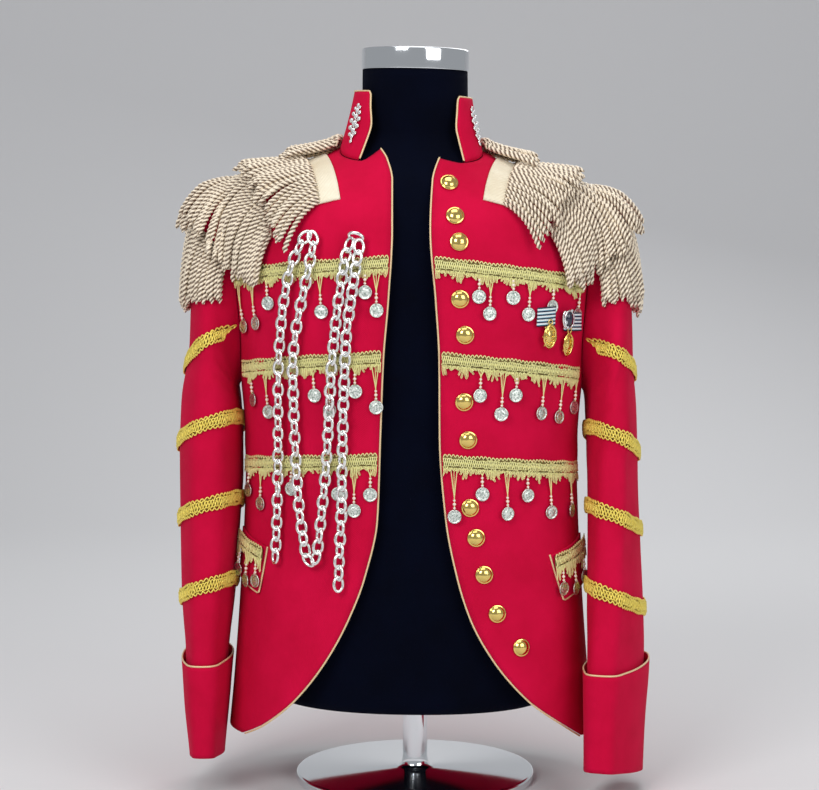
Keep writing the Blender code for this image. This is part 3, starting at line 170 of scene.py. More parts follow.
def ringPoint(curves, angle, height, shift):
    half, front, back, round_ = [read(c, height) for c in curves]
    s, c = np.sin(np.radians(angle)), np.cos(np.radians(angle))
    deep = np.where(c > 0, front, back)
    x = half * np.sign(s) * np.abs(s) ** (2 / round_) + shift
    y = -deep * np.sign(c) * np.abs(c) ** (2 / round_)
    return np.stack([x, y, height + 0 * x], -1)


def normalOf(surface, a, b, stepA, stepB):
    n = np.cross(surface(a + stepA, b) - surface(a - stepA, b),
                 surface(a, b + stepB) - surface(a, b - stepB))
    return n / np.maximum(np.linalg.norm(n, axis=-1, keepdims=True), 1e-12)


def alike(*values):
    # numbers and arrays made into arrays of one shape
    return np.broadcast_arrays(*[np.asarray(value, float) for value in values])


def torso(angle, height, out=0.0):
    angle, height, out = alike(angle, height, out)
    bare = lambda a, h: ringPoint(torsoCurves, a, h, fit["shift"])
    return leaned(bare(angle, height) + normalOf(bare, angle, height, 0.5, 0.002) * out[..., None])


def torsoAngle(x, height):
    power = read(torsoCurves[3], height) / 2
    reach = np.asarray(x, float) - fit["shift"]
    share = np.clip(np.abs(reach) / read(torsoCurves[0], height), 0, 1)
    return np.sign(reach) * np.degrees(np.arcsin(share ** power))


def sideAngle(depth, height):
    deep = np.where(depth < 0, read(torsoCurves[1], height), read(torsoCurves[2], height))
    share = np.clip(np.abs(depth) / deep, 0, 1) ** (read(torsoCurves[3], height) / 2)
    return np.degrees(np.arccos(np.sign(-depth) * share))


def frontAt(x, height, out=0.0):
    return torso(torsoAngle(x, height), height, out)


def neckHeight(angle):
    turn = np.abs((np.asarray(angle, float) + 180) % 360 - 180)
    return fit["neckFront"] + (fit["neckBack"] - fit["neckFront"]) * ease((turn - 25) / 70)


holeMiddle = (fit["shoulder"] + fit["underarm"]) / 2
holeHalf = (fit["shoulder"] - fit["underarm"]) / 2


def holeDepth(angle):
    c = np.cos(np.radians(angle))
    return np.where(c > 0, -fit["holeFront"] * c, -fit["holeBack"] * c)


def sleeveBare(side, down, angle):
    down = np.clip(down, 0, sleeveEnd)
    ox, oz, ix, iz, depth, forward, turn, lift = [read(c, down) for c in sleeveCurves[side]]
    s, c = np.sin(np.radians(angle)), np.cos(np.radians(angle))
    across, ahead = (ox - ix) / 2 * s, depth * c
    swing = np.radians(turn)
    x = (ox + ix) / 2 + across * np.cos(swing) - ahead * np.sin(swing)
    y = -forward - ahead * np.cos(swing) - across * np.sin(swing)
    z = (oz + iz) / 2 + (oz - iz) / 2 * s + ahead * lift
    ring = np.stack([side * x, y, z], -1)
    height = holeMiddle + holeHalf * s
    hole = ringPoint(torsoCurves, side * sideAngle(holeDepth(angle), height), height, fit["shift"])
    share = ease(down / 2.5)[..., None]
    return hole * (1 - share) + ring * share


# angle, half angle, rise of the long soft ridges below the elbow
sleeveRidges = {-1: [(-25, 16, 0.0028), (20, 14, 0.0018), (150, 18, 0.0024)],
                1: [(-18, 15, 0.0026), (26, 14, 0.0030), (155, 18, 0.0024)]}
# down, angle, slant, half length, half width, rise of the creases across a sleeve
sleeveCreases = {
    -1: [(5.6, 5, 0.5, 46, 0.30, -0.0020), (6.4, 20, 0.7, 60, 0.34, 0.0017),
         (7.4, -5, -0.4, 52, 0.32, -0.0018), (8.0, 200, 0.5, 60, 0.35, 0.0018),
         (6.8, 175, -0.5, 55, 0.30, -0.0017), (9.6, 10, 0.4, 40, 0.30, -0.0011),
         (4.4, -28, 0.9, 30, 0.35, -0.0018), (10.6, 120, -0.3, 50, 0.30, -0.0010)],
    1: [(5.8, 8, -0.5, 46, 0.30, -0.0018), (6.9, 0, 0.6, 58, 0.36, 0.0018),
        (7.7, 22, 0.5, 50, 0.30, -0.0020), (8.3, 190, -0.5, 60, 0.35, 0.0018),
        (7.0, 165, 0.5, 55, 0.30, -0.0016), (9.9, -8, -0.4, 42, 0.30, -0.0012),
        (4.5, -26, 0.9, 30, 0.35, -0.0018), (10.9, 100, 0.3, 50, 0.30, -0.0010)],
}


def sleeveRise(side, down, angle, fine):
    rise = 0 * (down + angle)
    for at, half, high in sleeveRidges[side]:
        away = ((angle - at + 180) % 360 - 180) / half
        rise = rise + high * np.exp(-away * away) * ease((down - 5) / 3)
    if fine:
        for row, at, slant, length, width, high in sleeveCreases[side]:
            away = (angle - at + 180) % 360 - 180
            across = (down - row - slant * away / length) / width
            rise = rise + high * np.exp(-across ** 2 - (away / length) ** 2)
    return rise


def sleeve(side, down, angle, out=0.0, fine=True):
    down, angle, out = alike(down, angle, out)
    bare = lambda d, a: sleeveBare(side, d, a)
    near = np.clip(down, 0.02, sleeveEnd - 0.02)
    normal = normalOf(bare, near, angle, 0.02, 1.0) * side
    point = bare(down, angle)
    radial = point - np.array([0, 0, holeMiddle])
    radial[..., 0] = 0
    radial /= np.maximum(np.linalg.norm(radial, axis=-1, keepdims=True), 1e-9)
    share = ease(down / 1.4)[..., None]
    normal = radial * (1 - share) + normal * share
    normal /= np.linalg.norm(normal, axis=-1, keepdims=True)
    rise = sleeveRise(side, down, angle, fine)
    return leaned(point + normal * (out + rise)[..., None])


def sleeveDown(side, height, angle):
    height, angle = alike(height, angle)
    low, high = np.zeros(height.shape), np.full(height.shape, float(sleeveEnd))
    for _ in range(22):
        middle = (low + high) / 2
        above = sleeve(side, middle, angle, 0, False)[..., 2] > height
        low, high = np.where(above, middle, low), np.where(above, high, middle)
    return (low + high) / 2


collarShape = {"top": 0.7395, "slope": 0.040, "radiusX": 0.0632, "radiusY": 0.0605}
# part of the height, left end angle, right end angle
collarEnds = [(0.00, 33.5, 34.0), (0.45, 32.5, 35.0), (0.85, 42.0, 44.5), (1.00, 46.5, 50.0)]
endCurves = columnCurves(collarEnds)


def collar(share, part, out=0.0):
    share, part, out = alike(share, part, out)

    def bare(s, p):
        start, end = read(endCurves[1], p), 360 - read(endCurves[0], p)
        angle = start + (end - start) * s
        low = ringPoint(torsoCurves, angle, neckHeight(angle), fit["shift"])
        low[..., 2] += 0.0005
        turn = np.radians(angle)
        x = collarShape["radiusX"] * np.sin(turn) + fit["shift"] / 2
        top = np.stack([x, -collarShape["radiusY"] * np.cos(turn),
                        collarShape["top"] - collarShape["slope"] * x], -1)
        return low * (1 - p[..., None]) + top * p[..., None]
    near = np.clip(part, 0.02, 0.98)
    return leaned(bare(share, part) + normalOf(bare, share, near, 0.005, 0.02) * out[..., None])


# materials

def newMaterial(name, colour, roughness, metallic=0.0, **sockets):
    mat = bpy.data.materials.new(name)
    mat.use_nodes = True
    shader = mat.node_tree.nodes["Principled BSDF"]
    shader.inputs["Base Color"].default_value = (*colour, 1)
    shader.inputs["Roughness"].default_value = roughness
    shader.inputs["Metallic"].default_value = metallic
    for label, value in sockets.items():
        shader.inputs[label.replace("_", " ")].default_value = value
    return mat, mat.node_tree.nodes, mat.node_tree.links, shader


def addNode(nodes, kind, **values):
    node = nodes.new(kind)
    for key, value in values.items():
        if key in node.inputs:
            node.inputs[key].default_value = value
        else:
            setattr(node, key, value)
    return node


def twoColours(nodes, links, factor, first, second, target, low=0.35, high=0.65):
    ramp = nodes.new("ShaderNodeValToRGB")
    ramp.color_ramp.elements[0].position = low
    ramp.color_ramp.elements[0].color = (*first, 1)
    ramp.color_ramp.elements[1].position = high
    ramp.color_ramp.elements[1].color = (*second, 1)
    links.new(factor, ramp.inputs["Fac"])
    links.new(ramp.outputs["Color"], target)
    return ramp


def addBump(nodes, links, shader, height, strength, distance, after=None):
    bump = nodes.new("ShaderNodeBump")
    bump.inputs["Strength"].default_value = strength
    bump.inputs["Distance"].default_value = distance
    links.new(height, bump.inputs["Height"])
    if after is not None:
        links.new(after.outputs["Normal"], bump.inputs["Normal"])
    links.new(bump.outputs["Normal"], shader.inputs["Normal"])
    return bump


def woven(name, dark, light, roughness, pitch, strength, **sockets):
    # twill on the piece's own UV map, which is in metres, with a soft cloudy tint
    mat, nodes, links, shader = newMaterial(name, light, roughness, **sockets)
    place = nodes.new("ShaderNodeUVMap")
    place.uv_map = "UVMap"
    twill = addNode(nodes, "ShaderNodeTexWave", Scale=0.314 / pitch, Distortion=0.6, Detail=1.0,
                    bands_direction="DIAGONAL")
    warp = addNode(nodes, "ShaderNodeTexWave", Scale=0.628 / pitch, bands_direction="X")
    links.new(place.outputs["UV"], twill.inputs["Vector"])
    links.new(place.outputs["UV"], warp.inputs["Vector"])
    spot = nodes.new("ShaderNodeTexCoord")
    cloud = addNode(nodes, "ShaderNodeTexNoise", Scale=16.0, Detail=5.0, Roughness=0.6)
    links.new(spot.outputs["Object"], cloud.inputs["Vector"])
    fuzz = addNode(nodes, "ShaderNodeTexNoise", Scale=1400.0, Detail=2.0)
    links.new(spot.outputs["Object"], fuzz.inputs["Vector"])
    twoColours(nodes, links, cloud.outputs["Fac"], dark, light, shader.inputs["Base Color"],
               0.30, 0.72)
    first = addBump(nodes, links, shader, twill.outputs["Fac"], strength, 0.00025)
    second = addBump(nodes, links, shader, warp.outputs["Fac"], strength * 0.5, 0.0002, first)
    addBump(nodes, links, shader, fuzz.outputs["Fac"], strength * 0.6, 0.0002, second)
    return mat


def metalThread(name, dark, light, roughness, metallic):
    # fine wound thread: its own colour where it stands up, with painted shade darkening it in its
    # grooves
    mat, nodes, links, shader = newMaterial(name, light, roughness, metallic)
    # painted shade: this attribute is 0 in a groove between plies and 1 on a ply's crest
    ply = addNode(nodes, "ShaderNodeAttribute", attribute_name="ply")
    twoColours(nodes, links, ply.outputs["Fac"], dark, light, shader.inputs["Base Color"],
               0.15, 0.75)
    spot = nodes.new("ShaderNodeTexCoord")
    grain = addNode(nodes, "ShaderNodeTexNoise", Scale=2600.0, Detail=2.0)
    links.new(spot.outputs["Object"], grain.inputs["Vector"])
    addBump(nodes, links, shader, grain.outputs["Fac"], 0.5, 0.0002)
    return mat


def metal(name, colour, roughness, grainScale, strength, dark=None):
    mat, nodes, links, shader = newMaterial(name, colour, roughness, 1.0)
    spot = nodes.new("ShaderNodeTexCoord")
    grain = addNode(nodes, "ShaderNodeTexNoise", Scale=grainScale, Detail=4.0)
    links.new(spot.outputs["Object"], grain.inputs["Vector"])
    addBump(nodes, links, shader, grain.outputs["Fac"], strength, 0.0003)
    if dark:
        twoColours(nodes, links, grain.outputs["Fac"], dark, colour, shader.inputs["Base Color"],
                   0.38, 0.56)
    return mat


redCloth = woven("redSuiting", (0.53, 0.0010, 0.034), (0.66, 0.0020, 0.050), 0.88, 0.0009, 0.35,
                 Sheen_Weight=0.06, Sheen_Roughness=0.45, Sheen_Tint=(1.0, 0.10, 0.22, 1),
                 Specular_IOR_Level=0.12)
blackJersey = woven("blackJersey", (0.0001, 0.0006, 0.0045), (0.0003, 0.0014, 0.0085), 0.95,
                    0.0011, 0.30, Sheen_Weight=0.01, Sheen_Tint=(0.25, 0.40, 0.90, 1),
                    Specular_IOR_Level=0.08)
creamHeader = woven("creamRibbedBraid", (0.74, 0.62, 0.42), (0.95, 0.88, 0.70), 0.62, 0.0022,
                    1.0, Sheen_Weight=0.2)
creamCord = metalThread("creamCord", (0.100, 0.045, 0.018), (1.0, 0.87, 0.68), 0.45, 0.0)
goldThread = metalThread("goldThread", (0.16, 0.15, 0.030), (0.84, 0.80, 0.36), 0.40, 0.25)
deepGoldThread = metalThread("deepGoldThread", (0.16, 0.10, 0.008), (0.92, 0.74, 0.14), 0.38, 0.3)
goldCord = metalThread("goldCord", (0.70, 0.42, 0.18), (0.98, 0.80, 0.50), 0.42, 0.1)
brass = metal("brassButton", (0.88, 0.66, 0.20), 0.13, 300.0, 0.04)
silver = metal("silverChain", (0.93, 0.94, 0.92), 0.24, 500.0, 0.05)
coinMetal = metal("silveredCoin", (0.90, 0.94, 0.88), 0.42, 620.0, 0.85, (0.34, 0.42, 0.37))
chrome = metal("polishedChrome", (0.83, 0.86, 0.89), 0.09, 40.0, 0.02)
beadPearl, *_ = newMaterial("pearlBead", (0.93, 0.80, 0.70), 0.22, Coat_Weight=0.6)
clearStone, *_ = newMaterial("clearStone", (0.80, 0.84, 0.86), 0.04, 0.55, Coat_Weight=1.0)
darkStone, *_ = newMaterial("darkStone", (0.006, 0.008, 0.030), 0.06, Coat_Weight=1.0)


def stripedRibbon():
    # dark, blue and pale stripes along the ribbon's cut, with fine ribs
    stripe, rib = 0.0034, 0.0006
    mat, nodes, links, shader = newMaterial("stripedRibbon", (0.1, 0.2, 0.4), 0.5)
    place = nodes.new("ShaderNodeUVMap")
    place.uv_map = "UVMap"
    split = nodes.new("ShaderNodeSeparateXYZ")
    links.new(place.outputs["UV"], split.inputs["Vector"])
    repeat = addNode(nodes, "ShaderNodeMath", operation="WRAP")
    repeat.inputs[1].default_value = stripe
    repeat.inputs[2].default_value = 0.0
    links.new(split.outputs["Y"], repeat.inputs[0])
    scaled = addNode(nodes, "ShaderNodeMath", operation="MULTIPLY")
    scaled.inputs[1].default_value = 1 / stripe
    links.new(repeat.outputs["Value"], scaled.inputs[0])
    ramp = twoColours(nodes, links, scaled.outputs["Value"], (0.004, 0.010, 0.040),
                      (0.16, 0.40, 0.52), shader.inputs["Base Color"], 0.0, 0.40)
    ramp.color_ramp.interpolation = "CONSTANT"
    ramp.color_ramp.elements.new(0.55).color = (0.80, 0.88, 0.90, 1)
    ribs = addNode(nodes, "ShaderNodeTexWave", Scale=0.314 / rib, bands_direction="X")
    links.new(place.outputs["UV"], ribs.inputs["Vector"])
    addBump(nodes, links, shader, ribs.outputs["Fac"], 0.5, 0.0002)
    return mat


stripes = stripedRibbon()
goldTape = woven("goldTape", (0.13, 0.095, 0.020), (0.34, 0.26, 0.075), 0.6, 0.0011, 1.0)
deepGoldTape = woven("deepGoldTape", (0.14, 0.075, 0.006), (0.30, 0.18, 0.018), 0.6, 0.0011, 1.0)
print("materials made")


# cloth

def clearSelection():
    if bpy.context.object and bpy.context.object.mode != "OBJECT":
        bpy.ops.object.mode_set(mode="OBJECT")
    bpy.ops.object.select_all(action="DESELECT")


def makeActive(obj):
    clearSelection()
    obj.select_set(True)
    bpy.context.view_layer.objects.active = obj


def finishPiece(obj, mat, node=None):
    obj.data.materials.clear()
    obj.data.materials.append(mat)
    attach(obj, "root")
    if node:
        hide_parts(node)
    return obj


def gridSheet(name, columns, rows, pointAt, cut, cutStart=0.0):
    # a grid shaped by pointAt(u, v), u and v from 0 to 1, with its cut as UV in metres
    clearSelection()
    bpy.ops.mesh.primitive_grid_add(x_subdivisions=columns, y_subdivisions=rows, size=1)
    obj = bpy.context.object
    obj.name = name
    obj.data.name = name
    flat = np.zeros(len(obj.data.vertices) * 3)
    obj.data.vertices.foreach_get("co", flat)
    flat = flat.reshape(-1, 3)
    u, v = flat[:, 0] + 0.5, flat[:, 1] + 0.5
    obj.data.vertices.foreach_set("co", pointAt(u, v).reshape(-1))
    uv = np.stack([u * cut[0], v * cut[1] + cutStart], -1)
    loops = np.zeros(len(obj.data.loops), int)
    obj.data.loops.foreach_get("vertex_index", loops)
    obj.data.uv_layers["UVMap"].data.foreach_set("uv", uv[loops].reshape(-1))
    obj.data.update()
    return obj


def weldSeam(obj):
    makeActive(obj)
    bpy.ops.object.mode_set(mode="EDIT")
    bpy.ops.mesh.select_all(action="SELECT")
    bpy.ops.mesh.remove_doubles(threshold=0.00001)
    bpy.ops.object.mode_set(mode="OBJECT")


def thicken(obj, wall, even=True):
    bpy.context.view_layer.objects.active = obj
    shell = obj.modifiers.new("wall", "SOLIDIFY")
    shell.thickness = wall
    shell.offset = -1
    shell.use_even_offset = even
    bpy.ops.object.modifier_apply(modifier=shell.name)
    obj.data.shade_smooth()


def clothPiece(name, columns, rows, pointAt, cut, node, closed=False):
    # one piece of the red cloth, with its wall and its cut as UV in metres
    obj = gridSheet(name, columns, rows, pointAt, cut)
    if closed:
        weldSeam(obj)
    thicken(obj, fit["wall"])
    finishPiece(obj, redCloth, node)


# x or angle, height, direction, half length, half width, rise: soft folds of the body
frontFolds = {
    -1: [(-0.150, 0.600, 35, 0.050, 0.010, -0.0022), (-0.165, 0.430, 8, 0.080, 0.012, 0.0018),
         (-0.130, 0.330, -20, 0.060, 0.014, -0.0015), (-0.150, 0.190, 12, 0.090, 0.016, 0.0022),
         (-0.105, 0.160, 20, 0.070, 0.013, -0.0016), (-0.075, 0.620, 20, 0.035, 0.012, 0.0012),
         (-0.168, 0.350, -35, 0.040, 0.009, 0.0014), (-0.115, 0.520, 12, 0.060, 0.015, 0.0012)],
    1: [(0.140, 0.600, -35, 0.050, 0.010, -0.0022), (0.158, 0.420, -6, 0.085, 0.012, 0.0020),
        (0.120, 0.330, 25, 0.060, 0.014, -0.0016), (0.150, 0.180, -10, 0.090, 0.016, 0.0022),
        (0.112, 0.230, -22, 0.070, 0.013, -0.0016), (0.070, 0.620, -20, 0.035, 0.012, 0.0012),
        (0.160, 0.345, 35, 0.040, 0.009, 0.0014), (0.105, 0.420, -10, 0.070, 0.015, 0.0012)],
}
backFolds = [(0.00, 0.120, 0, 0.070, 0.012, -0.0026), (-0.09, 0.150, 8, 0.090, 0.018, 0.0026),
             (0.09, 0.150, -8, 0.090, 0.018, 0.0026), (-0.12, 0.36, -50, 0.045, 0.009, -0.0020),
             (0.12, 0.36, 50, 0.045, 0.009, -0.0020), (-0.13, 0.56, -20, 0.060, 0.012, 0.0022),
             (0.13, 0.56, 20, 0.060, 0.012, 0.0022), (0.03, 0.330, 70, 0.050, 0.008, 0.0014),
             (-0.04, 0.300, -75, 0.050, 0.008, -0.0014)]


def foldRise(folds, x, z):
    rise = 0 * x
    for fx, fz, turn, length, width, high in folds:
        t = math.radians(turn)
        along = ((x - fx) * math.sin(t) + (z - fz) * math.cos(t)) / length
        across = ((x - fx) * math.cos(t) - (z - fz) * math.sin(t)) / width
        rise = rise + high * np.exp(-along ** 2 - across ** 2)
    return rise


# the share of the rows below the shoulder point, the length of a degree of angle, the reach of
# the dip at the top seam, half the gap at the side seam, and how the columns crowd to the edge
panel = {"shoulderRow": 0.86, "degree": 0.0021, "topSeam": 0.3, "sideGap": 0.0004, "crowd": 0.85}


def seamDip(distance):
    return -0.0007 * np.exp(-(distance / 0.0016) ** 2)


def slopeShare(v):
    return np.clip((v - panel["shoulderRow"]) / (1 - panel["shoulderRow"]), 0, 1)


def panelHeight(v, angle):
    # even steps up to the shoulder point, then up the slope to the neck seam
    z = fit["hem"] + (fit["shoulder"] - fit["hem"]) * np.clip(v / panel["shoulderRow"], 0, 1)
    return z + slopeShare(v) * (neckHeight(angle) - fit["shoulder"])


def seamAngle(height, front):
    # angle of the side seam, and of the armhole's edge above it
    gap = -panel["sideGap"] if front else panel["sideGap"]
    plain = sideAngle(gap + 0 * height, height)
    s = np.clip((height - holeMiddle) / holeHalf, -1, 1)
    turn = np.degrees(np.arcsin(s))
    hole = sideAngle(holeDepth(turn if front else 180 - turn), height)
    inside = (height > fit["underarm"]) & (height < fit["shoulder"])
    best = np.minimum(hole, plain) if front else np.maximum(hole, plain)
    return np.where(inside, best, plain)


# the top of each front runs up to a point
frontPeak = {-1: 0.682, 1: 0.6736}


def frontPoint(side):
    def pointAt(u, v):
        w = (u if side > 0 else 1 - u) ** panel["crowd"]
        rough = panelHeight(v, side * 60.0)
        up = slopeShare(v)
        peak = np.where(up > 0, fit["shoulder"] + up * (frontPeak[side] - fit["shoulder"]), rough)
        edge = torsoAngle(edgeAt(side, peak), peak)
        end = side * seamAngle(rough, True)
        angle = edge + (end - edge) * w
        near = np.clip((fit["peakFrom"] - np.abs(angle)) / (fit["peakFrom"] - np.abs(edge)), 0, 1)
        z = panelHeight(v, angle)
        z = z + up * near * (frontPeak[side] - neckHeight(angle)) * (peak > fit["shoulder"])
        x = torso(angle, z)[..., 0]
        fade = ease(w / 0.08) * ease((1 - w) / 0.06)
        rise = foldRise(frontFolds[side], x, z) * fade
        rise = rise + seamDip(np.abs(end - angle) * panel["degree"])
        return torso(angle, z, rise + seamDip((1 - v) * panel["topSeam"]))
    return pointAt


def backPoint(u, v):
    rough = panelHeight(v, 180.0)
    start = seamAngle(rough, False)
    angle = start + (360 - 2 * start) * u
    z = panelHeight(v, angle)
    x = torso(angle, z)[..., 0]
    fade = ease(u / 0.05) * ease((1 - u) / 0.05)
    rise = foldRise(backFolds, x, z) * fade
    gap = np.minimum(angle - start, 360 - start - angle)
    rise = rise + seamDip(gap * panel["degree"])
    return torso(angle, z, rise + seamDip((1 - v) * panel["topSeam"]))


def makeBody():
    for side, word in bothSides:
        clothPiece(f"front{word.capitalize()}", 50, 104, frontPoint(side), (0.22, 0.62),
                   f"front_{word}")
    clothPiece("backPanel", 84, 96, backPoint, (0.44, 0.63), "back")


def aroundSleeve(side, u):
    # from underarm to underarm, in the order that makes the cloth face outwards
    angle = -90 + 360 * u
    return angle if side > 0 else 180 - angle


# how far a sleeve's head is tucked in: all round, more over the shoulder, and at the seam
sleeveTuck = {"round": 0.0010, "over": 0.0016, "fade": 3, "seam": 0.0008, "seamReach": 0.15}


def makeSleeves():
    for side, word in bothSides:
        def pointAt(u, v):
            angle = aroundSleeve(side, u)
            down = sleeveEnd * (1 - v)
            over = np.maximum(0, np.sin(np.radians(angle))) ** 3
            tuck = sleeveTuck["round"] + sleeveTuck["over"] * over
            tuck = tuck * (1 - ease(down / sleeveTuck["fade"]))
            tuck = tuck + sleeveTuck["seam"] * np.exp(-down / sleeveTuck["seamReach"])
            return sleeve(side, down, angle, -tuck)
        clothPiece(f"sleeve{word.capitalize()}", 64, 112, pointAt, (0.40, 0.60),
                   f"sleeve_{word}", True)


cuffShape = {"tops": {-1: 0.141, 1: 0.136}, "gap": 0.0011, "wall": 0.0018, "drop": 0.0006,
             "flare": 0.0022, "wave": 0.0006}


def cuffDown(side, angle, v):
    top = sleeveDown(side, cuffShape["tops"][side] + 0 * angle, angle)
    return sleeveEnd + (top - sleeveEnd) * v


def cuffFlare(angle, v):
    return cuffShape["flare"] * v ** 2 + cuffShape["wave"] * np.sin(np.radians(3 * angle + 40)) * v


def makeCuffs():
    for side, word in bothSides:
        def pointAt(u, v):
            angle = aroundSleeve(side, u)
            point = sleeve(side, cuffDown(side, angle, v), angle,
                           cuffShape["gap"] + cuffShape["wall"] + cuffFlare(angle, v), False)
            point[..., 2] -= cuffShape["drop"] * (v < 0.001)
            return point
        clothPiece(f"cuff{word.capitalize()}", 84, 22, pointAt, (0.26, 0.10), f"cuff_{word}", True)


def makeCollar():
    def pointAt(u, v):
        wave = 0.0006 * np.sin(u * 21) * v
        return collar(u, v, wave + seamDip(v * 0.06))
    clothPiece("standCollar", 96, 18, pointAt, (0.33, 0.06), "collar")


# front angle at the top and at the foot, rear angle, height of the top edge in front and behind
flapShape = {-1: (54.0, 57.5, 80.0, 0.2637, 0.2780), 1: (50.5, 57.0, 82.0, 0.2605, 0.2755)}
flap = {"depth": 0.0485, "gap": 0.0007, "curl": 0.0016}


def flapPlace(side, share, part):
    top, low, rear, frontZ, rearZ = flapShape[side]
    front = top + (low - top) * part
    angle = front + (rear - front) * share
    return side * angle, frontZ + (rearZ - frontZ) * share - flap["depth"] * part


def makeFlaps():
    for side, word in bothSides:
        def pointAt(u, v):
            angle, z = flapPlace(side, u if side > 0 else 1 - u, 1 - v)
            return torso(angle, z, flap["gap"] + fit["wall"] + flap["curl"] * (1 - v) ** 2)
        clothPiece(f"flap{word.capitalize()}", 28, 20, pointAt, (0.07, 0.05), f"flap_{word}")


# cords and small things gathered into one mesh

class Gather:
    def __init__(self):
        self.verts, self.faces, self.ply, self.count = [], [], [], 0

    def add(self, verts, faces, ply=None):
        verts = np.asarray(verts, float)
        self.verts.append(verts)
        self.faces += [tuple(i + self.count for i in f) for f in faces]
        # pieces without plies get 1 everywhere, so no painted groove shade
        self.ply.append(np.ones(len(verts)) if ply is None else ply)
        self.count += len(verts)

    def build(self, name, mat, slotName, node=None, smooth=True):
        mesh = bpy.data.meshes.new(name)
        mesh.from_pydata(np.concatenate(self.verts).tolist(), [], self.faces)
        mesh.update()
        # the painted groove shade, read by the thread materials
        ply = mesh.attributes.new("ply", "FLOAT", "POINT")
        ply.data.foreach_set("value", np.concatenate(self.ply))
        obj = bpy.data.objects.new(name, mesh)
        bpy.context.scene.collection.objects.link(obj)
        if smooth:
            mesh.shade_smooth()
        return finishPiece(obj, mat, node)


tubeFaces = {}


def facesFor(rings, sides, closed):
    key = (rings, sides, closed)
    if key not in tubeFaces:
        faces = []
        for i in range(rings if closed else rings - 1):
            a, b = i * sides, (i + 1) % rings * sides
            faces += [(a + k, a + (k + 1) % sides, b + (k + 1) % sides, b + k)
                      for k in range(sides)]
        if not closed:
            faces.append(tuple(range(sides))[::-1])
            faces.append(tuple(range((rings - 1) * sides, rings * sides)))
        tubeFaces[key] = faces
    return tubeFaces[key]


def runOf(points):
    # distance along a line at each of its points
    return np.concatenate([[0], np.cumsum(np.linalg.norm(np.diff(points, axis=0), axis=1))])


def addTube(gather, points, radius, sides=6, lobes=0, depth=0.0, pitch=0.008, closed=False,
            phase=0.0, taper=0.0):
    # a cord along points; lobes and pitch give it the look of twisted plies, and each point gets a
    # painted shade value for the grooves between them
    points = np.asarray(points, float)
    count = len(points)
    if closed:
        ways = np.roll(points, -1, 0) - np.roll(points, 1, 0)
    else:
        ways = np.gradient(points, axis=0)
    ways /= np.maximum(np.linalg.norm(ways, axis=1, keepdims=True), 1e-9)
    run = runOf(points)
    side = np.cross(ways[0], (0, 0, 1.0))
    if np.linalg.norm(side) < 0.1:
        side = np.cross(ways[0], (0, 1.0, 0))
    a = []
    for way in ways:
        side = side - way * side.dot(way)
        side = side / np.linalg.norm(side)
        a.append(side)
    a = np.array(a)
    b = np.cross(ways, a)
    turn = np.linspace(0, 2 * math.pi, sides, endpoint=False)[None, :]
    wave = np.zeros((count, sides))
    if lobes:
        wave = np.cos(lobes * (turn - 2 * math.pi * run[:, None] / pitch - phase))
    size = radius * (1 + depth * wave)
    if taper:
        near = np.minimum(run, run[-1] - run)[:, None]
        size = size * np.sqrt(np.clip(near / taper, 0.10, 1))
    rings = (points[:, None, :] + size[..., None] * (np.cos(turn)[..., None] * a[:, None, :]
                                                      + np.sin(turn)[..., None] * b[:, None, :]))
    # painted shade of the grooves: 0 in a groove, 1 on a ply's crest
    ply = (0.5 + 0.5 * wave) if lobes else np.ones((count, sides))
    gather.add(rings.reshape(-1, 3), facesFor(count, sides, closed), ply.reshape(-1))


def resampled(points, step):
    points = np.asarray(points, float)
    run = runOf(points)
    count = max(2, int(round(run[-1] / step)) + 1)
    at = np.linspace(0, run[-1], count)
    return np.stack([np.interp(at, run, points[:, k]) for k in range(3)], -1)


def meshOf(obj):
    # points and faces of a finished primitive, which is then removed
    verts = np.array([v.co for v in obj.data.vertices])
    faces = [tuple(p.vertices) for p in obj.data.polygons]
    mesh = obj.data
    bpy.data.objects.remove(obj)
    bpy.data.meshes.remove(mesh)
    return verts, faces


def placed(verts, spot, across, up, out, scale=(1, 1, 1)):
    # a copy whose X runs across, Y up and Z outwards
    turn = np.stack([across, up, out])
    return (verts * np.array(scale)) @ turn + spot


def turned(first, second, angle):
    # two directions at right angles, turned in their own plane
    return (first * math.cos(angle) + second * math.sin(angle),
            second * math.cos(angle) - first * math.sin(angle))


def frameAt(x, z, out, tilt=0.0):
    # a place on the chest with its sideways, upward and outward directions
    spot = frontAt(x, z, out)
    outward = frontAt(x, z, out + 0.001) - spot
    outward /= np.linalg.norm(outward)
    up = np.array([0, 0, 1.0]) - outward * outward[2]
    up /= np.linalg.norm(up)
    across, up = turned(np.cross(up, outward), up, tilt)
    return spot, across, up, outward


def selectFaces(obj, wanted):
    bpy.ops.object.mode_set(mode="OBJECT")
    for face in obj.data.polygons:
        face.select = wanted(face)
    bpy.ops.object.mode_set(mode="EDIT")


# hard trim modelled once and copied

# a step is how far the round face is inset, and then moved out
coinShape = {"radius": 0.0072, "thick": 0.0010, "sides": 28,
             "steps": [(0.0009, 0.0), (0.0003, -0.00028), (0.0022, 0.0), (0.0004, 0.00022),
                       (0.0012, 0.0)]}
stoneShape = {"radius": 1.0, "thick": 0.5, "sides": 10, "steps": [(0.42, 0.42)]}
buttons = {"radius": 0.0095, "thick": 0.0012, "sides": 32, "gap": 0.0004,
           "steps": [(0.0006, 0.0009), (0.0007, -0.0003), (0.0004, 0.0006), (0.0013, 0.0014),
                     (0.0019, 0.0011), (0.0022, 0.0006), (0.0012, 0.0001)],
           "places": [(0.0347, 0.6478), (0.0405, 0.6143), (0.0445, 0.5881), (0.0455, 0.5301),
                      (0.0507, 0.4933), (0.0500, 0.4241), (0.0543, 0.3843), (0.0565, 0.3135),
                      (0.0628, 0.2822), (0.0712, 0.2437), (0.0848, 0.2028), (0.1102, 0.1661)]}


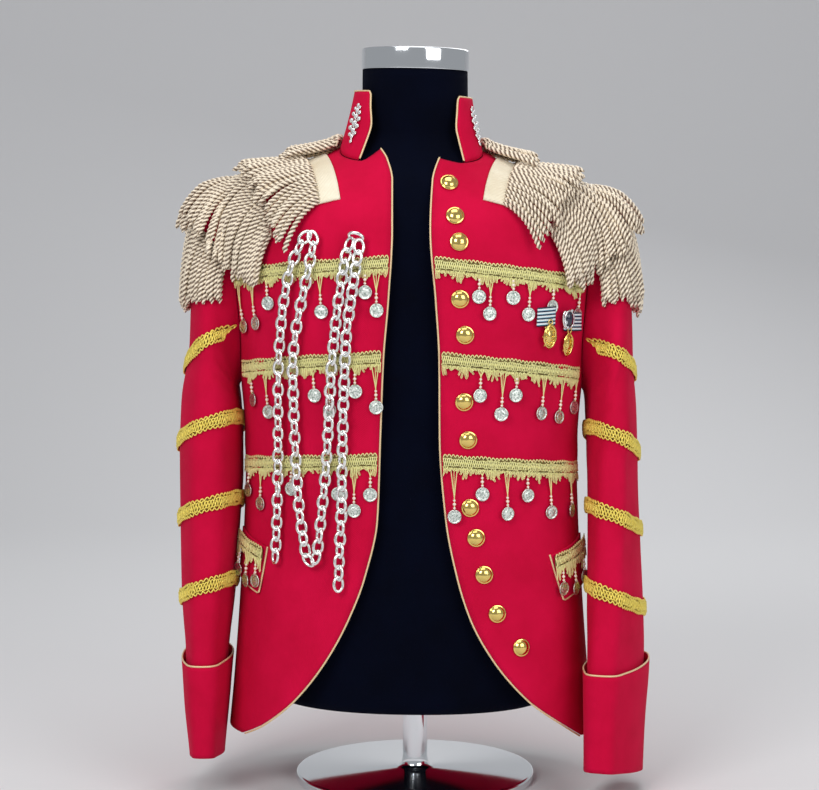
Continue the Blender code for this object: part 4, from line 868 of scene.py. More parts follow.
def steppedDisc(shape, bothFaces=False, lift=0.0):
    # a disc with its upper face, or both faces, inset and moved step by step
    clearSelection()
    bpy.ops.mesh.primitive_cylinder_add(vertices=shape["sides"], radius=shape["radius"],
                                        depth=shape["thick"], location=(0, 0, lift),
                                        end_fill_type="NGON")
    disc = bpy.context.object
    bpy.ops.object.transform_apply(location=True)
    bpy.ops.object.mode_set(mode="EDIT")
    bpy.ops.mesh.select_mode(type="FACE")
    for inset, depth in shape["steps"]:
        selectFaces(disc, lambda f: len(f.vertices) == shape["sides"]
                    and (bothFaces or f.normal.z > 0.5))
        bpy.ops.mesh.inset(thickness=inset, depth=depth, use_individual=bothFaces)
    bpy.ops.object.mode_set(mode="OBJECT")
    return meshOf(disc)


def beadModel():
    clearSelection()
    bpy.ops.mesh.primitive_uv_sphere_add(segments=8, ring_count=6, radius=1)
    bead = bpy.context.object
    bpy.ops.object.mode_set(mode="EDIT")
    bpy.ops.mesh.select_all(action="SELECT")
    bpy.ops.transform.resize(value=(1, 1, 0.86))
    bpy.ops.object.mode_set(mode="OBJECT")
    return meshOf(bead)


coinMesh = steppedDisc(coinShape, True)  # a struck disc: raised rim, sunk field, raised middle
stoneMesh = steppedDisc(stoneShape)  # a cut stone: flat table, sloped crown and a girdle
beadMesh = beadModel()


def addBead(gather, spot, size):
    gather.add(placed(beadMesh[0] * size, spot, *np.eye(3)), beadMesh[1])


def makeButtons():
    # domed shank buttons: rolled rim, step and a pressed round dome
    verts, faces = steppedDisc(buttons, lift=buttons["thick"] / 2)
    for number, (x, z) in enumerate(buttons["places"], 1):
        one = Gather()
        one.add(placed(verts, *frameAt(x, z, buttons["gap"])), faces)
        one.build(f"button{number:02d}", brass, "brass", f"button_{number:02d}")


# chest braid with beads and coins

# inner height, outer height, left end angle, right end angle
chestRows = [(0.5650, 0.5455, 69.0, 64.5), (0.4680, 0.4490, 72.0, 70.0),
             (0.3615, 0.3465, 80.0, 80.0)]
chestCoins = {
    (1, -1): [(-0.183, 0.053), (-0.168, 0.051), (-0.152, 0.032), (-0.0968, 0.045),
              (-0.0508, 0.028), (-0.0393, 0.047)],
    (1, 1): [(0.0645, 0.028), (0.0760, 0.044), (0.0992, 0.025), (0.1166, 0.040),
             (0.1412, 0.029), (0.1700, 0.033)],
    (2, -1): [(-0.1710, 0.034), (-0.1553, 0.048), (-0.1050, 0.034), (-0.0896, 0.050),
              (-0.0620, 0.032), (-0.0410, 0.050)],
    (2, 1): [(0.0670, 0.033), (0.0899, 0.050), (0.1043, 0.029), (0.1330, 0.045),
             (0.1530, 0.047), (0.1680, 0.035)],
    (3, -1): [(-0.1735, 0.029), (-0.1600, 0.043), (-0.1276, 0.027), (-0.0783, 0.033),
              (-0.0625, 0.051), (-0.0460, 0.035)],
    (3, 1): [(0.0395, 0.056), (0.0684, 0.031), (0.0940, 0.050), (0.1156, 0.030),
             (0.1392, 0.047), (0.1618, 0.045)],
}
# the tape's columns and rows, the length and width of its cut, and its half width
braid = {"half": 0.0068, "gap": 0.0007, "cord": 0.00062, "wave": 0.0044, "period": 0.0062,
         "base": 0.0006, "picot": 0.0042, "out": 0.0030, "tape": (120, 6, 0.2, 0.0124, 0.0062)}
# how far each coin in the row is turned on its thread, in radians
coinTurns = [0.0, 0.15, -0.12, 0.0, 0.1, -0.30, 0.0, -0.12, 0.22, 0.05, -0.1]


def rowHeight(side, row, angle):
    inner, outer = rowEnds(side, row)
    return row[0] + (row[1] - row[0]) * (angle - inner) / (outer - inner)


def rowEnds(side, row):
    edge = edgeAt(side, row[0]) + side * 0.0012
    return float(torsoAngle(edge, row[0])), side * (row[2] if side < 0 else row[3])


def stripLine(place, start, end, count):
    # the middle line of a strip: shares of its length and the distance run at each
    share = np.linspace(0, 1, count)
    return share, runOf(place(start + (end - start) * share, 0, 0))


def stripPoints(place, start, end, across, out, step):
    # evenly spaced points along a strip, offset across it and out of it by functions of run
    share, run = stripLine(place, start, end, 400)
    at = np.linspace(0, run[-1], max(3, int(run[-1] / step)))
    angle = start + (end - start) * np.interp(at, run, share)
    return place(angle, across(at), out(at))


def gimpBand(gather, place, start, end, style):
    # three wavy cords that cross each other, and a scalloped lace cord along each edge
    wave, period, picot = style["wave"], style["period"], style["picot"]
    gap = style["gap"] + style["base"]
    for k in range(3):
        shift = 2 * math.pi * k / 3

        def across(s):
            return wave * (1 + 0.2 * np.sin(s * 260 + k)) * np.sin(2 * math.pi * s / period + shift)

        def over(s):
            return gap + 0.0009 + 0.0006 * np.cos(4 * math.pi * s / period + shift)
        addTube(gather, stripPoints(place, start, end, across, over, 0.0010), style["cord"], 5)
    for edge in (-1, 1):
        def across(s):
            scallop = 0.0032 * np.abs(np.sin(math.pi * s / picot)) + 0.0005 * np.sin(s * 190)
            return edge * (style["half"] - 0.0022 + scallop)

        def over(s):
            return gap + 0.0007 + 0.0003 * np.cos(2 * math.pi * s / picot)
        addTube(gather, stripPoints(place, start, end, across, over, 0.00085), style["cord"], 5)


def layTape(title, node, place, start, end, side, style, mat, closed=False):
    # the woven tape under a braid, laid in the order that makes it face outwards
    columns, rows, length, width, half = style["tape"]
    first, last = (start, end) if side > 0 else (end, start)
    pointAt = lambda u, v: place(first + (last - first) * u, half * (2 * v - 1),
                                 style["gap"] + style["base"])
    tape = gridSheet(title + "Tape", columns, rows, pointAt, (length, width))
    if closed:
        weldSeam(tape)
    thicken(tape, style["base"])
    finishPiece(tape, mat, node)


# beads are listed from the top; the ring is the one that the coin hangs by
hanging = {"thread": 0.00042, "forkThread": 0.00055, "forkFrom": 0.0125, "firstBead": 0.0018,
           "beadStep": 0.0039, "ringWire": 0.00032, "beads": (0.0015, 0.0019, 0.0015),
           "ring": 0.0013}


def dangle(threads, beads, coins, angle, top, drop, out, number):
    # a beaded thread from the band down to a ring and a coin
    turn = coinTurns[number % len(coinTurns)]
    radius = coinShape["radius"]
    clear = out + radius * abs(math.sin(turn)) * 0.9
    centre = top - drop
    length = drop - radius
    liftAt = lambda z: out + (clear - out) * ease((top - z) / max(length, 0.004))
    z = np.linspace(top + 0.001, centre + radius - 0.0006, 14)
    addTube(threads, torso(angle, z, liftAt(z)), hanging["thread"], 5)
    # two gold threads that meet above three beads
    fork = max(top - (length - hanging["forkFrom"]), centre + radius + 0.002)
    if top - fork > 0.004:
        for lean in (-1, 1):
            away = np.clip(lean * (z - fork) / (top - fork), -1.2, 1.2) * (z > fork)
            addTube(threads, torso(angle + away, z, liftAt(z) + 0.0004), hanging["forkThread"], 5)
    for k, size in enumerate(hanging["beads"]):
        zb = centre + radius + hanging["firstBead"] + hanging["beadStep"] * (2 - k)
        if zb <= top + 0.001:
            addBead(beads, torso(angle, zb, float(liftAt(zb))), size)
    spot = torso(angle, centre, clear)
    outward = torso(angle, centre, clear + 0.001) - spot
    outward[2] = 0
    outward /= np.linalg.norm(outward)
    up = np.array([0, 0, 1.0])
    across, face = turned(np.cross(up, outward), outward, turn)
    coins.add(placed(coinMesh[0], spot, across, up, face), coinMesh[1])
    middle = spot + up * (radius + 0.0004)
    ring = [middle + (up * math.cos(t) + face * math.sin(t)) * hanging["ring"]
            for t in np.linspace(0, 2 * math.pi, 9)[:-1]]
    addTube(coins, ring, hanging["ringWire"], 4, closed=True)


# the last two are a loop's places along its drop, and how far it stands out there
loopShape = {"spacing": 0.0023, "half": 0.0007, "cord": 0.00050, "scallop": 0.026,
             "down": np.array([0, -0.5, -0.93, -1.0, -0.93, -0.5, 0]),
             "out": np.array([0.3, 0.8, 1, 1, 1, 0.8, 0.3])}


def fringeLoops(gather, place, start, end, seed, scale=1.0):
    # fine loops under the band, in scallops of uneven length
    dice = random.Random(seed)
    share, run = stripLine(place, start, end, 300)
    low, half = -(braid["half"] - 0.0016), loopShape["half"]
    for k in range(int(run[-1] / loopShape["spacing"])):
        at = (k + 0.5) * loopShape["spacing"]
        scallop = 0.5 + 0.5 * math.cos(2 * math.pi * at / loopShape["scallop"]
                                       + 0.8 * math.sin(at * 61))
        length = (0.0035 + 0.0065 * scallop ** 2 + dice.uniform(-0.0016, 0.0030)) * scale
        skew = dice.uniform(-0.0024, 0.0024)
        s = at + np.array([-half, -half * 0.9, skew - half, skew, skew + half, half * 0.9, half])
        angle = start + (end - start) * np.interp(np.clip(s, 0, run[-1]), run, share)
        out = braid["gap"] + 0.0010 + 0.0008 * loopShape["out"] + dice.uniform(0, 0.0009)
        addTube(gather, place(angle, low + loopShape["down"] * length, out), loopShape["cord"], 4)


def buildBraid(title, cords, beads, coins):
    cords.build(title, goldThread, "gold_braid")
    beads.build(title + "Beads", beadPearl, "gold_braid")
    coins.build(title + "Coins", coinMetal, "gold_braid")


def makeChestBraid():
    number = 0
    for index, row in enumerate(chestRows, 1):
        for side, word in bothSides:
            start, end = rowEnds(side, row)
            place = lambda angle, dz, out: torso(angle, rowHeight(side, row, angle) + dz, out)
            title = f"chestBraid{index}{word.capitalize()}"
            layTape(title, f"chest_braid_{index}_{word}", place, start, end, side, braid,
                    goldTape)
            cords, beads, coins = Gather(), Gather(), Gather()
            gimpBand(cords, place, start, end, braid)
            fringeLoops(cords, place, start, end, index * 2 + side)
            for x, drop in chestCoins[index, side]:
                angle = float(torsoAngle(x, row[0]))
                angle = float(torsoAngle(x, rowHeight(side, row, angle)))
                top = rowHeight(side, row, angle) - braid["half"]
                dangle(cords, beads, coins, angle, top, drop - braid["half"], braid["out"], number)
                number += 1
            buildBraid(title, cords, beads, coins)


# sleeve and flap braid

# height of each band, and how far it falls round the arm
sleeveBands = {
    -1: [(0.492, 0.050), (0.402, 0.042), (0.316, 0.036), (0.230, 0.034)],
    1: [(0.477, 0.040), (0.391, 0.038), (0.309, 0.036), (0.226, 0.036)],
}
sleeveBraid = {"half": 0.0068, "gap": 0.0011, "cord": 0.00078, "wave": 0.0046, "period": 0.0086,
               "base": 0.0006, "lean": -40, "clear": 0.9, "picot": 0.0050,
               "tape": (120, 5, 0.22, 0.012, 0.0058)}


def bandHeight(band, angle):
    return band[0] - band[1] / 2 * (1 - np.cos(np.radians(angle - sleeveBraid["lean"])))


def bandEnds(side, band):
    # all the way round, or from underarm to underarm where the sleeve is set in
    if band[0] < fit["underarm"]:
        return -90.0, 270.0
    angles = np.arange(-70, 250, 1.0)
    down = sleeveDown(side, bandHeight(band, angles) + sleeveBraid["half"], angles)
    free = angles[down >= sleeveBraid["clear"]]
    return float(free.min()), float(free.max())


def makeSleeveBraid():
    for side, word in bothSides:
        for number, band in enumerate(sleeveBands[side], 1):
            start, end = bandEnds(side, band)
            title = f"sleeveBraid{number}{word.capitalize()}"

            def place(angle, dz, out):
                z = bandHeight(band, angle) + dz
                return sleeve(side, sleeveDown(side, z, angle), angle, out)
            layTape(title, f"sleeve_braid_{number}_{word}", place, start, end, side, sleeveBraid,
                    deepGoldTape, end - start > 359)
            cords = Gather()
            gimpBand(cords, place, start, end, sleeveBraid)
            cords.build(title, deepGoldThread, "deep_gold_braid")


# share along the flap and drop of each coin, and the first one's place among coinTurns
flapBraid = dict(braid, tape=(40, 5, 0.06, 0.012, 0.0062))
flapTrim = {"coins": [(0.15, 0.024), (0.42, 0.030), (0.72, 0.025)], "firstTurn": 3, "loops": 1.5,
            "ends": (0.03, 0.97), "down": 0.0085, "coinDown": 0.0150, "out": 0.0022}


def makeFlapBraid():
    number = flapTrim["firstTurn"]
    start, end = flapTrim["ends"]
    base = flap["gap"] + fit["wall"] + flapTrim["out"]
    for side, word in bothSides:
        def place(share, dz, out):
            angle, z = flapPlace(side, share, 0.0)
            return torso(angle, z - flapTrim["down"] + dz, out + base)
        title = f"flapBraid{word.capitalize()}"
        cords, beads, coins = Gather(), Gather(), Gather()
        gimpBand(cords, place, start, end, flapBraid)
        fringeLoops(cords, place, start, end, 40 + side, flapTrim["loops"])
        layTape(title, f"flap_braid_{word}", place, start, end, side, flapBraid, goldTape)
        for share, drop in flapTrim["coins"]:
            angle, z = flapPlace(side, share, 0.0)
            dangle(cords, beads, coins, angle, float(z) - flapTrim["coinDown"], drop,
                   base + braid["out"], number)
            number += 1
        buildBraid(title, cords, beads, coins)


# piping

piping = {"radius": 0.0010, "away": 0.0012, "sink": 0.0009, "plies": 3, "depth": 0.12,
          "pitch": 0.0060, "step": 0.0011, "low": 0.0628, "over": 0.0004}


def cordPiece(name, line, node=None, closed=False):
    cords = Gather()
    addTube(cords, line if closed else resampled(line, piping["step"]), piping["radius"], 6,
            piping["plies"], piping["depth"], piping["pitch"], closed=closed)
    cords.build(name, goldCord, "gold_braid", node)


def makePiping():
    away, sink = piping["away"], piping["sink"]
    for side, word in bothSides:
        z = np.linspace(piping["low"], frontPeak[side] + piping["over"], 420)
        slope = (edgeAt(side, z + 0.003) - edgeAt(side, z - 0.003)) / 0.006
        length = np.sqrt(1 + slope ** 2)
        x = edgeAt(side, z) - side * away / length
        cordPiece(f"piping{word.capitalize()}",
                  frontAt(x, z + side * slope * away / length, -sink), f"piping_{word}")
    # up one end of the collar, along its top and down the other end
    edge = []
    for share, inside, parts in ((0, 0.004, np.linspace(0.02, 0.97, 30)),
                                 (1, 0.996, np.linspace(0.97, 0.02, 30))):
        here = collar(share, parts, -sink)
        beyond = here - collar(inside, parts, -sink)
        edge.append(here + beyond / np.linalg.norm(beyond, axis=1, keepdims=True) * away)
    top = collar(np.linspace(0.004, 0.996, 140), 1.0, -sink)
    top[:, 2] += away
    cordPiece("pipingCollar", np.concatenate([edge[0], top, edge[1]]), "piping_collar")
    for side, word in bothSides:
        angle = np.linspace(-90, 270, 300, endpoint=False)
        line = sleeve(side, cuffDown(side, angle, 1.0), angle,
                      cuffShape["gap"] + sink + cuffFlare(angle, 1.0), False)
        line[:, 2] += piping["radius"]
        cordPiece(f"cuffCord{word.capitalize()}", line, closed=True)
    # down the flap's front edge and back along its foot
    parts = np.linspace(0.0, 1.0, 30)
    for side, word in bothSides:
        angle, z = flapPlace(side, 0.0, parts)
        line = torso(angle - side * 0.6, z, flap["gap"] + sink + flap["curl"] * parts ** 2)
        angle, z = flapPlace(side, parts, 1.0)
        under = torso(angle, z - away, flap["gap"] + sink + flap["curl"])
        cordPiece(f"flapCord{word.capitalize()}", np.concatenate([line, under[1:]]))


# shoulder fringe

# x, height, tilt, slant, fore, aft, width, gap, thick, cords, length, rise, climb, droop, fall,
# and how much shorter the cords get towards the front and back
tiers = {
    "collar": (0.075, 0.600, 0, 0.00, 18, 30, 0.006, 0.0040, 0.0018, 12, 0.055, 0.0110, 0.21,
               0.110, 0.0, 0.0),
    "upper": (0.117, 0.560, 0, 0.22, 56, 54, 0.024, 0.0010, 0.0018, 44, 0.066, 0.0180, 0.30,
              0.075, 1.30, 0.15),
    "middle": (0.168, 0.545, 4, 0.26, 62, 52, 0.008, 0.0020, 0.0040, 44, 0.096, 0.0150, 0.28,
               0.040, 2.20, 0.85),
    "outer": (0.200, 0.550, 34, 0.12, 78, 66, 0.008, 0.0010, 0.0040, 42, 0.084, 0.0020, 0.135,
              0.040, 0.40, 0.60),
}
fringe = {"radius": 0.00235, "pitch": 0.0106, "step": 0.004, "sink": 0.6, "depth": 0.36,
          "push": 0.004, "lap": 0.003, "underLayer": 0.93, "layerRise": 0.0030, "minDrop": 0.004}


def buildHull():
    verts, faces = [], []

    def add(columns, rows, points, flip):
        base = len(verts)
        verts.extend(Vector(p) for p in points)
        for row in range(rows):
            for column in range(columns):
                a = base + row * (columns + 1) + column
                loop = (a, a + 1, a + columns + 2, a + columns + 1)
                faces.append(loop[::-1] if flip else loop)

    def gridOf(columns, rows):
        u, v = np.meshgrid(np.linspace(0, 1, columns + 1), np.linspace(0, 1, rows + 1))
        return u.reshape(-1), v.reshape(-1)
    u, v = gridOf(120, 80)
    add(120, 80, torso(360 * u, 0.40 + v * (neckHeight(360 * u) - 0.40)), False)
    u, v = gridOf(60, 10)
    add(60, 10, collar(u, v), False)
    for side in (-1, 1):
        u, v = gridOf(60, 60)
        add(60, 60, sleeve(side, 10 * v, 360 * u, 0, False), side > 0)
    return BVHTree.FromPolygons(verts, faces)


def headerSpot(hull, side, tier, turn):
    x, height, tilt, slant = tier[:4]
    t, a = math.radians(tilt), math.radians(turn)
    up = Vector((side * math.sin(t), 0, math.cos(t)))
    way = up * math.cos(a) + Vector((0, -1, 0)) * math.sin(a)
    way.x -= side * slant * abs(math.sin(a))
    origin = Vector((side * x + fit["shift"], 0, height))
    spot, normal, _, _ = hull.ray_cast(origin + way.normalized() * 0.30, -way.normalized())
    return spot, normal


def layCord(hull, start, heading, length, rise, droop):
    point, way, run = start.copy(), heading.normalized(), 0.0
    points = [point.copy()]
    while run < length - 1e-6:
        way = (way + Vector((0, 0, -1)) * (fringe["step"] / droop)).normalized()
        run += fringe["step"]
        point = point + way * fringe["step"]
        spot, normal, _, _ = hull.find_nearest(point)
        deep = (point - spot).dot(normal)
        if deep < rise(run):
            point = point + normal * min(fringe["push"], rise(run) - deep)
            way = (way - normal * min(0.0, way.dot(normal))).normalized()
        points.append(point.copy())
    return points


def fringeRoots(hull, side, tier):
    # where the cords are sewn, the way that they leave, and the way out of the cloth
    fore, aft, count = tier[4], tier[5], tier[9]
    roots = []
    for k in range(count + 1):
        turn = fore - (fore + aft) * k / count
        spot, normal = headerSpot(hull, side, tier, turn)
        near, _ = headerSpot(hull, side, tier, turn - 2)
        heading = normal.cross((near - spot).normalized())
        if heading.x * side < 0:
            heading = -heading
        roots.append((spot, heading.normalized(), normal))
    return roots


def rootAt(roots, place):
    i = min(len(roots) - 2, int(place))
    return [a.lerp(b, place - i) for a, b in zip(roots[i], roots[i + 1])]


def makeFringe(hull):
    dice = random.Random(11)
    for side, word in bothSides:
        for part, tier in tiers.items():
            (fore, aft, width, gap, thick, count, length, riseTo, climb, droop, fall,
             short) = tier[4:]
            roots = fringeRoots(hull, side, tier)
            title = f"fringe{part.capitalize()}{word.capitalize()}"
            makeHeader(hull, side, title + "Band", f"fringe_{part}_{word}", roots, tier)
            cords = Gather()
            lap = fringe["lap"] if part == "upper" else width + 0.001
            for layer in (0, 1):
                for k in range(count - layer):
                    i = k + (0.5 if layer == 0 else 1.0)
                    spot, heading, normal = rootAt(roots, i)
                    heading, normal = heading.normalized(), normal.normalized()
                    high = fringe["layerRise"] * layer + dice.uniform(-0.0003, 0.0008)
                    low = gap + max(thick, 0.004) - 0.0020 + high
                    turn = math.radians(fore - (fore + aft) * i / count)
                    flat = 1 - fringe["sink"] * math.sin(turn) ** 2

                    def rise(run):
                        return low + min(riseTo, climb * run) * flat
                    sway = Vector((0, dice.uniform(-0.10, 0.10), -fall * math.sin(turn) ** 4))
                    reach = length * (1 + dice.uniform(-0.07, 0.05) - 0.03 * (k % 2))
                    reach *= 1 - short * math.sin(turn) ** 4
                    reach *= 1.0 if layer == 0 else fringe["underLayer"]
                    start = spot + normal * low - heading * lap
                    path = layCord(hull, start, heading + sway, reach + lap, rise,
                                   droop * flat * dice.uniform(0.85, 1.2))
                    if path[-1].z > path[0].z - fringe["minDrop"]:
                        continue
                    line = resampled([tuple(p) for p in path], 0.0015)
                    addTube(cords, line, fringe["radius"] * dice.uniform(0.93, 1.06), 6, 2,
                            fringe["depth"], fringe["pitch"] * dice.uniform(0.93, 1.07),
                            phase=dice.uniform(0, 6.3), taper=0.004)
            cords.build(title, creamCord, "cream_cord")


def makeHeader(hull, side, name, node, roots, tier):
    # the band that a tier's cords are sewn to, laid over the shoulder
    width, gap, thick = tier[6:9]
    count = len(roots) - 1

    def pointAt(u, v):
        points = []
        for a, b in zip(u, v):
            spot, heading, _ = rootAt(roots, count - (a if side > 0 else 1 - a) * count)
            near, normal, _, _ = hull.find_nearest(spot - heading * width * (1 - b))
            points.append(near + normal * (gap + thick))
        return np.array([tuple(p) for p in points])
    band = gridSheet(name, 60, 8, pointAt, (0.2, width))
    middle = Vector((side * 0.13, 0, 0.55))
    if sum(p.normal.dot(p.center - middle) for p in band.data.polygons) < 0:
        band.data.flip_normals()
    thicken(band, thick, False)
    finishPiece(band, creamHeader, node)


# chest chain

# x and height of the chain's middle line
chainRoute = [
    (-0.1420, 0.2480), (-0.1400, 0.2900), (-0.1385, 0.3450), (-0.1380, 0.4100),
    (-0.1370, 0.4650), (-0.1330, 0.5150), (-0.1260, 0.5550), (-0.1130, 0.5850),
    (-0.1060, 0.5915), (-0.1010, 0.5850), (-0.1080, 0.5500), (-0.1180, 0.5050),
    (-0.1230, 0.4650), (-0.1220, 0.4100), (-0.1200, 0.3500), (-0.1170, 0.3050),
    (-0.1120, 0.2700), (-0.1090, 0.2560), (-0.1030, 0.2530), (-0.0990, 0.2620),
    (-0.0950, 0.3000), (-0.0900, 0.3500), (-0.0865, 0.4100), (-0.0840, 0.4600),
    (-0.0780, 0.5200), (-0.0700, 0.5700), (-0.0640, 0.5880), (-0.0580, 0.5900),
    (-0.0560, 0.5800), (-0.0620, 0.5450), (-0.0690, 0.4950), (-0.0720, 0.4300),
    (-0.0735, 0.3700), (-0.0745, 0.3100), (-0.0770, 0.2550), (-0.0785, 0.2140),
]
chainLink = {"long": 0.0076, "wide": 0.0049, "wire": 0.00180, "out": 0.0080, "roll": 26,
             "sway": 14, "tight": 0.98, "steps": 8}


def linkModel():
    # an oval ring of round wire
    clearSelection()
    bpy.ops.mesh.primitive_torus_add(major_segments=18, minor_segments=7, major_radius=1.0,
                                     minor_radius=0.25)
    verts, faces = meshOf(bpy.context.object)
    turn = np.arctan2(verts[:, 1], verts[:, 0])
    flat = (np.hypot(verts[:, 0], verts[:, 1]) - 1) * chainLink["wire"] / 0.25
    x = chainLink["long"] * np.cos(turn) + np.cos(turn) * flat
    y = chainLink["wide"] * np.sin(turn) + np.sin(turn) * flat
    return np.stack([x, y, verts[:, 2] * chainLink["wire"] / 0.25], -1), faces


def smoothRoute():
    route = np.array(chainRoute)
    t = np.arange(len(route))
    fine = np.linspace(0, len(route) - 1, 1200)
    kernel = np.hanning(31)
    kernel /= kernel.sum()
    x, z = [np.convolve(np.pad(np.interp(fine, t, route[:, k]), 15, "edge"), kernel, "valid")
            for k in (0, 1)]
    return frontAt(x, z, chainLink["out"])


def makeChain():
    verts, faces = linkModel()
    links = Gather()
    dice = random.Random(5)
    steps = chainLink["steps"]
    pitch = 2 * chainLink["long"] - 2 * chainLink["wire"] * chainLink["tight"]
    line = resampled(smoothRoute(), pitch / steps)
    for number, i in enumerate(range(steps // 2, len(line) - steps // 2, steps)):
        spot = line[i]
        way = line[min(len(line) - 1, i + steps // 2)] - line[i - steps // 2]
        way /= np.linalg.norm(way)
        angle = math.radians(float(torsoAngle(spot[0], 0.4)))
        out = np.array([math.sin(angle) * 0.8, -1.0, 0])
        out -= way * out.dot(way)
        out /= np.linalg.norm(out)
        roll = (1 if number % 2 else -1) * chainLink["roll"]
        roll += dice.uniform(-chainLink["sway"], chainLink["sway"])
        across, out = turned(np.cross(out, way), out, math.radians(roll))
        links.add(placed(verts, spot, way, across, out), faces)
    links.build("chestChain", silver, "silver_chain", "chest_chain")


# medals and collar ornaments

ribbon = {"half": (0.0094, 0.0098), "gap": 0.0034, "thick": 0.0014, "bow": 0.0006,
          "places": [(0.1330, 0.5130, 0.16), (0.1610, 0.5070, -0.10)]}


def makeRibbons():
    wide, high = ribbon["half"]
    for number, (x, z, tilt) in enumerate(ribbon["places"], 1):
        def pointAt(u, v):
            a, b = (2 * u - 1) * wide, (2 * v - 1) * high
            bow = ribbon["bow"] * np.sin(u * math.pi)
            return frontAt(x + a + b * math.sin(tilt) * 0.3, z + b + a * math.sin(tilt) * 0.5,
                           ribbon["gap"] + ribbon["thick"] + bow)
        obj = gridSheet(f"medalRibbon{number}", 14, 14, pointAt, (0.017, 0.018), 0.0002)
        thicken(obj, ribbon["thick"])
        finishPiece(obj, stripes, f"medal_ribbon_{number}")


# each ring of a badge: its share of the outline and of the rise
badgeRings = [(1.0, 0.0), (1.0, 0.30), (0.62, 0.62), (0.50, 0.50), (0.34, 0.95)]


def starburst(gather, spot, across, up, out, wide, high, points, rise):
    # a cast badge: pointed rays round a domed middle
    count = points * 2
    ring = []
    for k in range(count):
        t = 2 * math.pi * k / count
        r = 1.0 if k % 2 == 0 else 0.70
        ring.append((math.sin(t) * r * wide, math.cos(t) * r * high))
    verts, faces = [], []
    for scale, lift in badgeRings:
        for a, b in ring:
            verts.append(spot + across * a * scale + up * b * scale + out * rise * lift)
    verts.append(spot + out * rise * 1.1)
    rows = len(badgeRings)
    for j in range(rows - 1):
        for k in range(count):
            a, b = j * count + k, j * count + (k + 1) % count
            faces.append((b, a, a + count, b + count))
    last = (rows - 1) * count
    faces += [(last + (k + 1) % count, last + k, rows * count) for k in range(count)]
    faces.append(tuple(range(count)))
    gather.add(verts, faces)


def ringOf(gather, spot, across, up, wide, high, radius, sides=6, count=36, lobes=0):
    t = np.linspace(0, 2 * math.pi, count, endpoint=False)
    line = spot + np.cos(t)[:, None] * wide * across + np.sin(t)[:, None] * high * up
    addTube(gather, line, radius, sides, lobes, 0.25 if lobes else 0, 0.003, closed=True)


# a medal's rays, the ring on them, the beads in the ring and the ring that it hangs by
medals = {
    "left": {"place": (0.1353, 0.4925, 0.0056), "rays": (0.0090, 0.0145, 8, 0.0026),
             "ringOut": 0.0014, "ring": (0.0072, 0.0114, 0.0012), "beads": 12, "turn": 0.0,
             "beadRing": (0.0048, 0.0078, 0.0022), "bead": 0.0011, "hanger": (0.0024, 0.0026)},
    "right": {"place": (0.1550, 0.4835, 0.0050), "rays": (0.0078, 0.0132, 6, 0.0024),
              "ringOut": 0.0012, "ring": (0.0066, 0.0112, 0.0010), "beads": 10, "turn": 0.5,
              "beadRing": (0.0044, 0.0074, 0.0020), "bead": 0.0010, "hanger": (0.0026, 0.0034)},
}


def makeMedals():
    for word, medal in medals.items():
        gold = Gather()
        spot, across, up, out = frameAt(*medal["place"])
        starburst(gold, spot, across, up, out, *medal["rays"])
        ringOf(gold, spot + out * medal["ringOut"], across, up, *medal["ring"], 6, 36, 2)
        wide, high, lift = medal["beadRing"]
        for k in range(medal["beads"]):
            t = 2 * math.pi * (k + medal["turn"]) / medal["beads"]
            addBead(gold, spot + across * math.cos(t) * wide + up * math.sin(t) * high
                    + out * lift, medal["bead"])
        ringOf(gold, spot + up * 0.0150 + out * 0.0012, across, up, *medal["hanger"], 0.0007, 6, 20)
        gold.build(f"medal{word.capitalize()}", brass, "brass", f"medal_{word}")


# the dark stone's half sizes, and the place and size of each clear one
brooch = {"place": (0.1550, 0.5100, 0.0058), "tilt": 0.15, "stone": (0.0058, 0.0086, 0.0034),
          "clear": [(-0.0062, -0.0020, 0.0020), (-0.0040, -0.0076, 0.0016),
                    (0.0030, 0.0090, 0.0015)]}


def makeBrooch():
    setting, dark, clear = Gather(), Gather(), Gather()
    spot, across, up, out = frameAt(*brooch["place"], brooch["tilt"])
    ringOf(setting, spot + out * 0.0016, across, up, 0.0064, 0.0092, 0.0010, 6, 40, 2)
    ringOf(setting, spot - across * 0.0052 + up * 0.0010 + out * 0.0012, across, up, 0.0034,
           0.0086, 0.0009, 6, 30)
    dark.add(placed(beadMesh[0], spot + out * 0.0020, across, up, out, brooch["stone"]),
             beadMesh[1])
    for a, b, size in brooch["clear"]:
        clear.add(placed(stoneMesh[0] * size, spot + across * a + up * b + out * 0.0030, across,
                         up, out), stoneMesh[1])
    setting.build("broochSetting", silver, "jewels", "brooch")
    dark.build("broochStone", darkStone, "jewels")
    clear.build("broochBrilliants", clearStone, "jewels", smooth=False)


# across, up, size: stones of a leafy spray, seven on its stem and the rest mirrored about it
spray = [(0.0, -0.0205, 0.0015), (0.0, -0.0150, 0.0020), (0.0, -0.0082, 0.0025),
         (0.0, -0.0004, 0.0030), (0.0, 0.0076, 0.0025), (0.0, 0.0146, 0.0020),
         (0.0, 0.0205, 0.0015), (0.0042, -0.0120, 0.0017), (0.0054, -0.0042, 0.0021),
         (0.0060, 0.0038, 0.0021), (0.0050, 0.0112, 0.0018), (0.0036, 0.0172, 0.0014)]
ornament = {"angles": {-1: 49.0, 1: 61.0}, "part": 0.5, "gap": 0.0012, "stemHalf": 0.0205,
            "stem": 0.0009, "twig": 0.0006, "twigDrop": 0.003, "claw": 0.0004}


